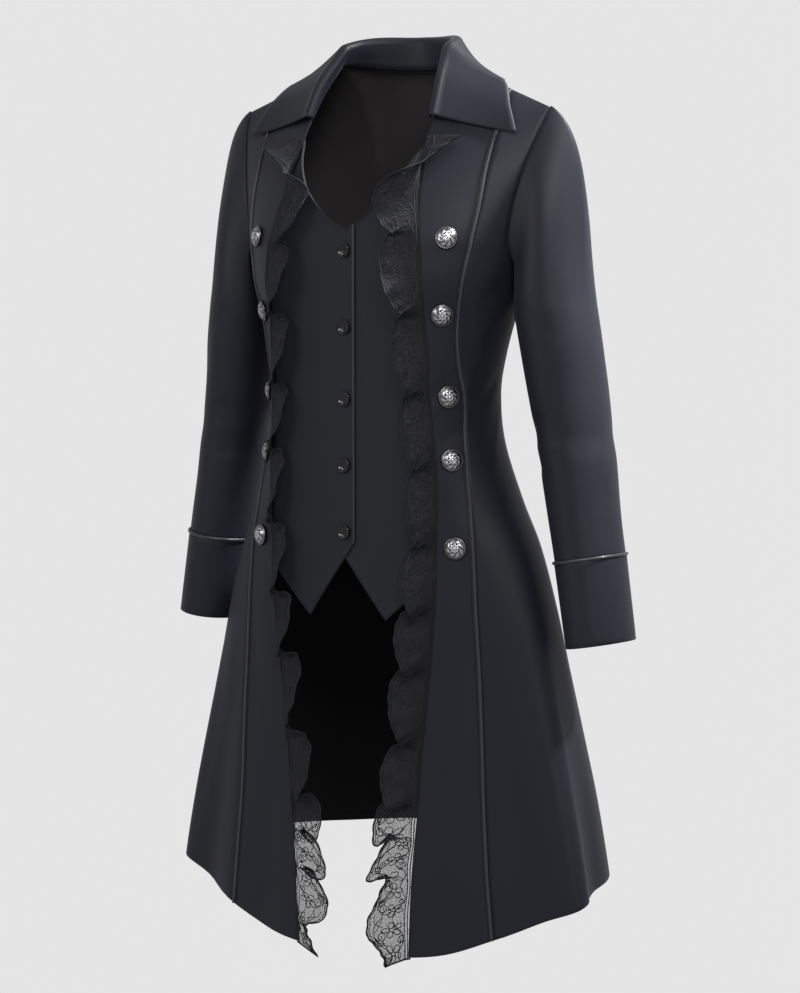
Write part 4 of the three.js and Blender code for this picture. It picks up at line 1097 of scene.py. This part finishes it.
def lace_surface(side, share, t):
    """Point of the lace's face at a share of its length, from the hem up, and of its width."""
    hem_angle = line_angle("edge", LACE_HEM_LEVEL)
    bottom = lookup(HEM, "angle", "height", np.degrees(hem_angle)) - LACE_BELOW
    height = bottom + (LACE_TOP - bottom) * share
    level = level_at(front_edge_x(np.maximum(height, LACE_HEM_LEVEL)), height)
    turned = smooth(LACE_TURN_START, LACE_TURN_END, height)
    inward = lookup(LACE, "height", "heading", height)
    heading = np.radians(inward + (LACE_TURN_OUTWARD - inward) * turned)
    along = np.stack([np.cos(heading), np.sin(heading), heading * 0], -1)
    proud = np.stack([-along[..., 1], along[..., 0], heading * 0], -1)
    folds = table(("height", "number"), list(zip(LACE_FOLDS[side], range(len(LACE_FOLDS[side])))))
    phase = 2 * np.pi * lookup(folds, "height", "number", height) - FOLD_LEAN
    wave = 0.5 + 0.5 * np.sin(phase)
    pinched = 1 - LACE_TURN_PINCH * np.sin(np.pi * turned)
    swing = FOLD_SWING * np.cos(phase + FOLD_LEAN)
    width = lookup(LACE, "height", "width", height) * pinched * (LACE_FULLNESS + swing)
    angle = line_angle("edge", level)
    edge = body_point(side, angle, level)
    normal = body_normal(side, angle, level)
    tucked = np.interp(turned, [0, 0.2, 1], [1, 0, 0]) * smooth(0.1, 0, t)
    root = edge + normal * (LACE_ROOT + LACE_CLOTH * turned - (CLOTH + TUCK / 2) * tucked)[..., None]
    root[..., 0] += (LACE_ROOT + LACE_CLOTH + TUCK) * tucked - LACE_ROOT - LACE_CLOTH
    lift = LACE_PROUD * t * wave * (1 - LACE_TURN_OVER * turned)
    rippling = np.sin(RIPPLE_TURNS * 2 * np.pi * share + 2 * np.sin(phase))
    ripple = t * t * (RIPPLE_SIZE * rippling - RUFFLE_SIZE * turned * (1 + rippling) / 2)
    lean = FOLD_DROP_LEAN + (LOW_DROP_LEAN - FOLD_DROP_LEAN) * smooth(*LOW_FOLDS, height)
    fall = FOLD_SAG + np.sin(phase + lean)
    point = root + along * (width * t)[..., None] + proud * (lift + ripple)[..., None]
    point[..., 2] -= FOLD_DROP * t * fall * (1 - turned)
    point[..., 2] -= LACE_END_DROP[side] * t * smooth(LACE_END_SHARE, 0, share)
    return point


def scallop(along_mm):
    """Share of the width that the scalloped edge reaches, at a distance along the flat lace."""
    return 1 - SCALLOP_DEPTH + SCALLOP_DEPTH * np.abs(np.sin(np.pi * along_mm / SCALLOP_LENGTH))


def net_material(name, colour, cell, thread, roughness):
    """Fine net: threads between the cells of an uneven grid, and nothing inside them."""
    material = bpy.data.materials.new(name)
    material.use_nodes = True
    nodes = material.node_tree.nodes
    links = material.node_tree.links
    shader = nodes["Principled BSDF"]
    shader.inputs["Base Color"].default_value = (*colour, 1)
    shader.inputs["Roughness"].default_value = roughness
    shader.inputs["Specular IOR Level"].default_value = 0.3
    flat = nodes.new("ShaderNodeUVMap")
    flat.uv_map = "flat"
    cells = nodes.new("ShaderNodeTexVoronoi")
    cells.voronoi_dimensions = "2D"
    cells.feature = "DISTANCE_TO_EDGE"
    cells.inputs["Scale"].default_value = 1 / cell
    cells.inputs["Randomness"].default_value = 0.45
    inside = nodes.new("ShaderNodeMath")
    inside.operation = "GREATER_THAN"
    inside.inputs[1].default_value = thread
    clear = nodes.new("ShaderNodeBsdfTransparent")
    mix = nodes.new("ShaderNodeMixShader")
    links.new(flat.outputs["UV"], cells.inputs["Vector"])
    links.new(cells.outputs["Distance"], inside.inputs[0])
    links.new(inside.outputs["Value"], mix.inputs["Fac"])
    links.new(shader.outputs["BSDF"], mix.inputs[1])
    links.new(clear.outputs["BSDF"], mix.inputs[2])
    links.new(mix.outputs["Shader"], nodes["Material Output"].inputs["Surface"])
    return material


FLOWER_HEART = 0.3
FLOWER_EYE = 0.24
PETAL_SPREAD = 0.86


def flower(centre, radius, petals, turn):
    """Outlines of a flower's petals and of its eye."""
    lines = []
    for k in range(petals):
        heading = turn + 2 * np.pi * k / petals
        spread = np.linspace(-1, 1, 13)
        bulge = np.sqrt(np.maximum(1 - spread**2, 0))
        reach = radius * (FLOWER_HEART + (1 - FLOWER_HEART) * bulge)
        side_turn = heading + spread * np.pi / petals * PETAL_SPREAD
        petal = np.stack([reach * np.cos(side_turn), reach * np.sin(side_turn)], -1)
        lines.append(np.array(centre) + petal)
    around = np.linspace(0, 2 * np.pi, 11)
    eye = FLOWER_EYE * radius
    lines.append(np.array(centre) + np.stack([eye * np.cos(around), eye * np.sin(around)], -1))
    return lines


def leaf(root, heading, length, width):
    """Outline of a leaf with its midrib."""
    t = np.linspace(0, 1, 9)
    bulge = width * np.sin(np.pi * t) ** 0.8
    along = np.array([math.cos(heading), math.sin(heading)])
    aside = np.array([-along[1], along[0]])
    upper = root + np.outer(t * length, along) + np.outer(bulge, aside)
    lower = root + np.outer(t * length, along) - np.outer(bulge, aside)
    rib = root + np.outer(t[:6] * length, along)
    return [np.vstack([upper, lower[::-1]]), rib]


def stem(start, end, bow):
    t = np.linspace(0, 1, 10)
    along = np.array(end, float) - np.array(start, float)
    aside = np.array([-along[1], along[0]]) / np.hypot(*along)
    return [np.array(start) + np.outer(t, along) + np.outer(bow * np.sin(np.pi * t), aside)]


MOTIF_LENGTH = 56.0
MOTIF = (
    flower((14, 20), 12.0, 5, 0.4)
    + flower((43, 14), 9.5, 5, 0.1)
    + stem((26, 24), (40, 30), 3.2)
    + stem((50, 22), (66, 30), 2.4)
    + leaf(np.array([29.0, 25.0]), 1.0, 11.0, 3.2)
    + leaf(np.array([33.0, 27.0]), -0.4, 12.0, 3.0)
    + leaf(np.array([24.0, 9.0]), -0.3, 10.0, 2.8)
    + leaf(np.array([1.0, 31.0]), -0.3, 10.0, 2.6)
)
VINES = table(("place", "bow", "length", "start"), [(9, 4.6, 47, 0), (27, 4.4, 39, 2)])
lace_net = net_material("lace net", (0.014, 0.014, 0.017), 1.15, 0.205, 0.7)
lace_thread = cloth_material("lace thread", (0.010, 0.011, 0.014), 0.7, 0.03, weave=0.05)


def by_length(side):
    """Shares of the height at even steps of the lace's own length, half way across it."""
    share = np.linspace(0, 1, 1500)
    points = lace_surface(side, share, np.full_like(share, 0.6))
    run = np.concatenate([[0], np.cumsum(np.linalg.norm(np.diff(points, axis=0), axis=-1))])
    return run / run[-1], share


def lace_frames(side, share, t):
    """Points and normals of the lace at places on it."""
    step = 0.0004
    point = lace_surface(side, share, t)
    along = lace_surface(side, share + step, t) - lace_surface(side, share - step, t)
    across = lace_surface(side, share, t + 0.01) - lace_surface(side, share, t - 0.01)
    return point, unit(np.cross(along, across))


def grid_quads(index):
    """Faces between the points of a grid, by their numbers."""
    corners = [index[:-1, :-1], index[1:, :-1], index[1:, 1:], index[:-1, 1:]]
    return np.stack(corners, -1).reshape(-1, 4)


def lace_sheet(side):
    """Net ground of the lace, with its flat places as a map in millimetres."""
    along = np.linspace(0, 1, LACE_SHEET_COLUMNS)[None, :]
    t = np.linspace(0, 1, LACE_SHEET_ROWS)[:, None] ** 1.3
    flat_along = along * LACE_LENGTH_MM
    reach = t * scallop(flat_along)
    share = np.interp(along, *by_length(side)) + t * 0
    point = lace_surface(side, share, reach)
    rows, columns = share.shape
    quads = grid_quads(np.arange(rows * columns).reshape(rows, columns))
    piece = new_piece(f"lace_{side}_net", mirror(point, side).reshape(-1, 3), quads.tolist(), (lace_net,))
    flat = np.stack([np.broadcast_to(flat_along, share.shape), reach * LACE_WIDTH_MM], -1)
    layer = piece.data.uv_layers.new(name="flat")
    layer.data.foreach_set("uv", flat.reshape(-1, 2)[quads.reshape(-1)].reshape(-1))
    return piece


CORD_STEP = 1.6
GATHERED_ROWS = (0.9, 2.0, 3.2)
EDGE_INSIDES = (2.6, 0.5)
END_HEM = 1.0
EDGE_LINES = 2


def lace_lines():
    """Cords of the lace in flat millimetres: motifs, vines, rows along the gathered edge, and last
    the scalloped free edge and the hemmed end."""
    lines = []
    for k in range(int(LACE_LENGTH_MM / MOTIF_LENGTH)):
        for line in MOTIF:
            placed = line.copy()
            if k % 2:
                placed[:, 0] = MOTIF_LENGTH - placed[:, 0]
            placed[:, 0] += k * MOTIF_LENGTH
            lines.append(placed)
    along = np.arange(0, LACE_LENGTH_MM, CORD_STEP)
    for place, bow, wave, start in zip(*VINES.values()):
        turns = 2 * np.pi * along / wave + start
        lines.append(np.stack([along, place + bow * np.sin(turns + 0.8 * np.sin(turns / 2.7))], -1))
    edge = scallop(along) * LACE_WIDTH_MM
    for gathered_row in GATHERED_ROWS:
        lines.append(np.stack([along, along * 0 + gathered_row], -1))
    for inside in EDGE_INSIDES:
        lines.append(np.stack([along, edge - inside], -1))
    across = np.linspace(0, LACE_WIDTH_MM - EDGE_INSIDES[-1], 24)
    lines.append(np.stack([across * 0 + END_HEM, across], -1))
    return lines


def tube_arrays(points, normals, radius, start):
    """Four-sided tube along a line: its vertices and faces, counted from a start."""
    tangent = unit(np.gradient(points, axis=0))
    aside = unit(np.cross(normals, tangent))
    outward = normals * radius
    aside = aside * radius
    ring = [points + aside, points + outward, points - aside, points - outward]
    vertices = np.stack(ring, 1).reshape(-1, 3)
    i = np.arange(len(points) - 1)[:, None] * 4
    k = np.arange(4)[None, :]
    m = (k + 1) % 4
    faces = np.stack([i + k, i + m, i + 4 + m, i + 4 + k], -1).reshape(-1, 4) + start
    return vertices, faces


def lace_cords(side):
    vertices = []
    faces = []
    start = 0
    lines = lace_lines()
    places = np.concatenate(lines)
    share = np.interp(places[:, 0] / LACE_LENGTH_MM, *by_length(side))
    t = np.clip(places[:, 1] / LACE_WIDTH_MM, 0.01, 1)
    points, normals = lace_frames(side, share, t)
    ends = np.cumsum([len(line) for line in lines])
    starts = np.concatenate([[0], ends[:-1]])
    for number, (first, last) in enumerate(zip(starts, ends)):
        radius = EDGE_CORD_RADIUS if number >= len(lines) - EDGE_LINES else CORD_RADIUS
        new_vertices, new_faces = tube_arrays(points[first:last], normals[first:last], radius, start)
        vertices.append(new_vertices)
        faces.append(new_faces)
        start += len(new_vertices)
    points = mirror(np.concatenate(vertices), side)
    return new_piece(f"lace_{side}_cords", points, np.concatenate(faces).tolist(), (lace_thread,))


for side in SIDES:
    net = lace_sheet(side)
    cords = lace_cords(side)
    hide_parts(f"lace_{side}")
    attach(net, "root")
    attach(cords, "root")

# Silver buttons: stamped metal domes with a rope rim and a raised rosette, sewn on by a shank
# behind, five on each front. The ornament is a plain generic one.
SILVER_RADIUS = 12.2
SILVER_HEIGHT = 6.2
SILVER_LINE = 127
SILVER_HEIGHTS = (-183, -265, -353, -421, -515)
BUTTON_LIFT = 0.7
BUTTON_RINGS = 34
BUTTON_SECTORS = 96
BUTTON_BACK_SHARE = 0.9
SHADE_MIDDLE = 0.5
SHADE_RANGE = 0.9
PETALS = 8
ROPE_TURNS = 36


def shaded_silver_material():
    """Bright stamped metal, with painted shade that darkens its hollows."""
    material = bpy.data.materials.new("silver")
    material.use_nodes = True
    nodes = material.node_tree.nodes
    links = material.node_tree.links
    shader = nodes["Principled BSDF"]
    shader.inputs["Metallic"].default_value = 1
    shader.inputs["Roughness"].default_value = 0.24
    depth = nodes.new("ShaderNodeAttribute")
    depth.attribute_name = "depth"
    # The ramp paints shade into the hollows: low relief turns dark and raised relief bright.
    shade_ramp = nodes.new("ShaderNodeValToRGB")
    shade_ramp.color_ramp.elements[0].position = 0.34
    shade_ramp.color_ramp.elements[0].color = (0.02, 0.02, 0.022, 1)
    shade_ramp.color_ramp.elements[1].position = 0.72
    shade_ramp.color_ramp.elements[1].color = (0.74, 0.74, 0.76, 1)
    links.new(depth.outputs["Fac"], shade_ramp.inputs["Fac"])
    links.new(shade_ramp.outputs["Color"], shader.inputs["Base Color"])
    return material


def button_mesh(name, radius, profile, relief, height_of, centre, normal, material):
    """Round button: a top of rings and sectors with relief, over a plain back."""
    r = radius * np.concatenate([[0.001], np.linspace(0.03, 1, BUTTON_RINGS)])
    theta = np.linspace(0, 2 * np.pi, BUTTON_SECTORS, endpoint=False)
    rr, tt = np.meshgrid(r, theta, indexing="ij")
    amount = relief(rr / radius, tt)
    z = np.interp(rr / radius, profile[0], profile[1]) * height_of + amount
    top = np.stack([rr * np.cos(tt), rr * np.sin(tt), z], -1)
    rim = radius * BUTTON_BACK_SHARE
    back = np.stack([rim * np.cos(theta), rim * np.sin(theta), theta * 0], -1)
    grid = np.concatenate([top, back[None]])
    shade = np.concatenate([amount, amount[-1:]])
    up = unit(np.array(normal, float))
    aside = unit(np.cross(np.array([0, 0, 1.0]), up))
    high = np.cross(up, aside)
    points = centre + grid[..., :1] * aside + grid[..., 1:2] * high + grid[..., 2:] * up
    rows, columns = grid.shape[:2]
    index = np.arange(rows * columns).reshape(rows, columns)
    index = np.hstack([index, index[:, :1]])
    faces = grid_quads(index).tolist()
    faces.append(index[-1, :-1][::-1].tolist())
    piece = new_piece(name, points.reshape(-1, 3), faces, (material,))
    # The depth attribute carries the relief, for the silver's painted shade in its hollows.
    layer = piece.data.attributes.new("depth", "FLOAT", "POINT")
    layer.data.foreach_set("value", (SHADE_MIDDLE + shade / SHADE_RANGE).reshape(-1))
    return piece


SILVER_PROFILE = ([0, 0.3, 0.6, 0.8, 0.88, 0.95, 1.0], [1.0, 0.94, 0.78, 0.54, 0.40, 0.42, 0.16])


def silver_relief(share, theta):
    """Small rosette in a ring of curled leaves, with beads and a rope rim round them."""
    boss = 0.4 * smooth(0.13, 0.08, share)
    petal_edge = 0.27 + 0.16 * np.abs(np.cos(theta * PETALS / 2))
    petal = 0.34 * smooth(petal_edge + 0.04, petal_edge - 0.02, share) * smooth(0.12, 0.17, share)
    leaves = 0.30 * np.abs(np.sin(theta * PETALS / 2 + share * 5.0)) ** 0.7
    leaves = leaves * smooth(0.42, 0.5, share) * smooth(0.8, 0.74, share)
    engraved = 0.12 * np.sin(theta * 26 + share * 46) * smooth(0.3, 0.5, share) * smooth(0.82, 0.74, share)
    beads = 0.26 * np.exp(-(((share - 0.84) / 0.035) ** 2)) * np.abs(np.cos(theta * PETALS * 2)) ** 0.6
    rope = 0.26 * np.exp(-(((share - 0.94) / 0.045) ** 2))
    rope = rope * (0.55 + 0.45 * np.sin(theta * ROPE_TURNS + share * 30))
    return boss + petal + leaves + engraved + beads + rope - 0.2


silver = shaded_silver_material()
for side in SIDES:
    for number, height in enumerate(SILVER_HEIGHTS, 1):
        level = level_at(SILVER_LINE, height)
        angle = (line_angle("edge", level) + line_angle("seam", level)) / 2
        normal = mirror(body_normal(side, angle, level), side)
        centre = mirror(body_point(side, angle, level), side) + normal * BUTTON_LIFT
        button = button_mesh(
            f"silver_button_{side}_{number}_metal",
            SILVER_RADIUS,
            SILVER_PROFILE,
            silver_relief,
            SILVER_HEIGHT,
            centre,
            normal,
            silver,
        )
        declare(button, f"silver_button_{side}_{number}")

# Vest buttons: glossy black four-hole buttons with a rounded rim and a dished middle, sewn on with
# black thread through their holes.
VEST_BUTTON_RADIUS = 8.0
VEST_BUTTON_HEIGHT = 2.9
VEST_BUTTON_HEIGHTS = (-197, -280, -358, -430, -503)
HOLE_PLACE = 0.2
HOLE_RADIUS = 0.085
VEST_PROFILE = ([0, 0.5, 0.66, 0.8, 0.88, 0.95, 1.0], [0.3, 0.32, 0.44, 0.86, 1.0, 0.9, 0.45])


def vest_button_relief(share, theta):
    """Four holes near the centre."""
    x = share * np.cos(theta)
    y = share * np.sin(theta)
    depth = np.zeros_like(share)
    for hole_x in (-HOLE_PLACE, HOLE_PLACE):
        for hole_y in (-HOLE_PLACE, HOLE_PLACE):
            distance = np.hypot(x - hole_x * 0.75, y - hole_y * 0.75)
            depth = depth - 0.9 * smooth(HOLE_RADIUS * 1.25, HOLE_RADIUS * 0.75, distance)
    return depth


def gloss_material():
    material = bpy.data.materials.new("black gloss")
    material.use_nodes = True
    shader = material.node_tree.nodes["Principled BSDF"]
    shader.inputs["Base Color"].default_value = (0.003, 0.003, 0.0035, 1)
    shader.inputs["Roughness"].default_value = 0.1
    shader.inputs["Specular IOR Level"].default_value = 0.55
    return material


gloss = gloss_material()
for number, height in enumerate(VEST_BUTTON_HEIGHTS, 1):
    centre = np.array([0, float(vest_depth(0.0, float(height))) - BUTTON_LIFT, height])
    button = button_mesh(
        f"vest_button_{number}_shell",
        VEST_BUTTON_RADIUS,
        VEST_PROFILE,
        vest_button_relief,
        VEST_BUTTON_HEIGHT,
        centre,
        (0, -1, 0),
        gloss,
    )
    declare(button, f"vest_button_{number}")

# Stitching: fine black topstitching beside the princess pipings, round the collar's edge and above
# the cuffs' lower edges.
STITCH_LENGTH = 2.5
STITCH_GAP = 0.8
STITCH_WIDTH = 0.75
STITCH_HEIGHT = 0.3
STITCH_END_SLOPE = 0.16
STITCH_TOP_WIDTH = 0.6
thread = cloth_material("sewing thread", (0.005, 0.005, 0.006), 0.6, 0.0, weave=0.03)


def stitch_arrays(points, normals):
    """Stitches end to end along a line, each a low rounded bar."""
    steps = np.linalg.norm(np.diff(points, axis=0), axis=-1)
    run = np.concatenate([[0], np.cumsum(steps)])
    pitch = STITCH_LENGTH + STITCH_GAP
    starts = np.arange(STITCH_GAP, run[-1] - STITCH_LENGTH, pitch)
    ends = starts + STITCH_LENGTH

    def along(places, values):
        return np.stack([np.interp(places, run, values[:, k]) for k in range(3)], -1)

    first = along(starts, points)
    last = along(ends, points)
    normal = unit(along((starts + ends) / 2, normals))
    aside = unit(np.cross(normal, last - first)) * STITCH_WIDTH / 2
    rise = normal * STITCH_HEIGHT
    inset = (last - first) * STITCH_END_SLOPE
    top_aside = aside * STITCH_TOP_WIDTH
    corners = [
        first - aside,
        first + aside,
        last + aside,
        last - aside,
        first + inset - top_aside + rise,
        first + inset + top_aside + rise,
        last - inset + top_aside + rise,
        last - inset - top_aside + rise,
    ]
    vertices = np.stack(corners, 1).reshape(-1, 3)
    block = np.array([[4, 5, 6, 7], [0, 1, 5, 4], [1, 2, 6, 5], [2, 3, 7, 6], [3, 0, 4, 7]])
    faces = (block[None] + np.arange(len(starts))[:, None, None] * 8).reshape(-1, 4)
    return vertices, faces


def stitching(name, lines):
    """One object of all the stitches along some lines, each a list of points and their normals."""
    vertices = []
    faces = []
    start = 0
    for points, normals in lines:
        new_vertices, new_faces = stitch_arrays(points, normals)
        vertices.append(new_vertices)
        faces.append(new_faces + start)
        start += len(new_vertices)
    points = np.concatenate(vertices)
    piece = new_piece(name, points, np.concatenate(faces).tolist(), (thread,), smooth_faces=False)
    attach(piece, "root")
    return piece


PIPING_STITCH_OFFSET = 4.2
COLLAR_STITCH_ROW = -3
STITCH_LIFT = 0.05
CUFF_STITCH_SINK = 0.3
for side in SIDES:
    rows = PANEL_ROWS[:-3]
    angle, level = crossing("seam", rows)
    angle = angle - sideways(side, angle, level, PIPING_STITCH_OFFSET)
    relief = crease_depth(
        CREASES[side], np.degrees(angle) * DEGREE_WIDTH, body_point(side, angle, level)[:, 2]
    )
    normals = body_normal(side, angle, level)
    points = body_point(side, angle, level) + normals * (relief + STITCH_LIFT)[:, None]
    lines = [(mirror(points, side), mirror(normals, side))]
    heights = np.full(CUFF_COLUMNS + 1, CUFF_END + CUFF_STITCH_ABOVE, float)
    turns = np.linspace(0, 2 * np.pi, CUFF_COLUMNS + 1)
    points = sleeve_ring(heights, turns, CUFF_PROUD - CUFF_STITCH_SINK)
    normals = unit(points - sleeve_ring(heights, turns, -10))
    lines.append((mirror(points, side), mirror(normals, side)))
    stitching(f"stitching_{side}", lines)

collar_normals = grid_normals(collar_grid, False)
stitching("stitching_collar", [(collar_grid[COLLAR_STITCH_ROW], collar_normals[COLLAR_STITCH_ROW])])

# Floor and backdrop: one pale bowl well below the hem and far round the coat, so that every side is
# seen against the same tone. It isn't part of the coat, and it throws no light on the cloth.
FLOOR_HEIGHT = -1.5
BOWL_REACH = 12.0
BOWL_BEND = 3.0
BOWL_RIM = 9.0
BOWL_SECTORS = 96
PALE = 0.783

bowl_profile = []
for degrees in np.linspace(0, 90, 16):
    bend = math.radians(degrees)
    bowl_profile.append(
        (
            BOWL_REACH - BOWL_BEND + BOWL_BEND * math.sin(bend),
            FLOOR_HEIGHT + BOWL_BEND - BOWL_BEND * math.cos(bend),
        )
    )
bowl_profile.append((BOWL_REACH, BOWL_RIM))
bowl_points = []
for reach, height in bowl_profile:
    for turn in np.linspace(0, 2 * np.pi, BOWL_SECTORS, endpoint=False):
        bowl_points.append((reach * math.cos(turn), reach * math.sin(turn), height))
bowl_faces = [list(range(BOWL_SECTORS))]
for i in range(len(bowl_profile) - 1):
    for k in range(BOWL_SECTORS):
        m = (k + 1) % BOWL_SECTORS
        low_edge = (i * BOWL_SECTORS + k, i * BOWL_SECTORS + m)
        bowl_faces.append([*low_edge, low_edge[1] + BOWL_SECTORS, low_edge[0] + BOWL_SECTORS])
bowl_mesh = bpy.data.meshes.new("backdrop")
bowl_mesh.from_pydata(bowl_points, [], bowl_faces)
backdrop = bpy.data.objects.new("backdrop", bowl_mesh)
bpy.context.scene.collection.objects.link(backdrop)
pale = bpy.data.materials.new("pale backdrop")
pale.use_nodes = True
pale_shader = pale.node_tree.nodes["Principled BSDF"]
pale_shader.inputs["Base Color"].default_value = (0, 0, 0, 1)
pale_shader.inputs["Specular IOR Level"].default_value = 0
pale_shader.inputs["Emission Color"].default_value = (1, 1, 1, 1)
pale_shader.inputs["Emission Strength"].default_value = PALE
bowl_mesh.materials.append(pale)
backdrop.visible_diffuse = False
backdrop.visible_glossy = False
backdrop.visible_shadow = False

# Soft studio light: an even pale room, a broad key above the camera's right, a weaker fill from its
# left, and one narrow light from above and behind for the edge of the left shoulder and sleeve.
world = bpy.data.worlds.new("studio")
bpy.context.scene.world = world
world.use_nodes = True
room = world.node_tree.nodes["Background"]
room.inputs["Color"].default_value = (0.99, 0.99, 1.0, 1)
room.inputs["Strength"].default_value = 0.46


def area_light(name, place, aim, size, power, spread=180):
    light = bpy.data.lights.new(name, "AREA")
    light.shape = "RECTANGLE"
    light.size, light.size_y = size
    light.energy = power
    light.spread = math.radians(spread)
    lamp = bpy.data.objects.new(name, light)
    lamp.location = place
    way = np.array(aim, float) - np.array(place, float)
    lamp.rotation_euler = (
        math.atan2(math.hypot(way[0], way[1]), -way[2]),
        0,
        math.atan2(-way[0], way[1]) if way[:2].any() else 0,
    )
    bpy.context.scene.collection.objects.link(lamp)


area_light("key", (2.5, -2.7, 2.0), (0, 0, -0.25), (1.4, 1.4), 84)
area_light("fill", (-1.3, -3.4, 0.9), (-0.05, 0, -0.35), (1.5, 1.5), 34)
area_light("edge", (1.7, 1.1, 2.2), (0.25, 0, -0.12), (0.3, 0.3), 5, spread=18)

# Camera: the photograph's, from the wearer's left front and slightly above.
CAMERA_PLACE = (2.1749, -3.0984, -0.1400)
CAMERA_TARGET = (0.00364, 0.00255, -0.47119)
bpy.context.scene.view_settings.view_transform = "Standard"
camera_data = bpy.data.cameras.new("camera")
camera_data.lens = 124.0
camera_data.sensor_width = 36.0
camera = bpy.data.objects.new("camera", camera_data)
camera.location = CAMERA_PLACE
look = np.array(CAMERA_TARGET) - np.array(CAMERA_PLACE)
camera.rotation_euler = (
    math.atan2(math.hypot(look[0], look[1]), -look[2]),
    0,
    math.atan2(-look[0], look[1]),
)
bpy.context.scene.collection.objects.link(camera)
bpy.context.scene.camera = camera
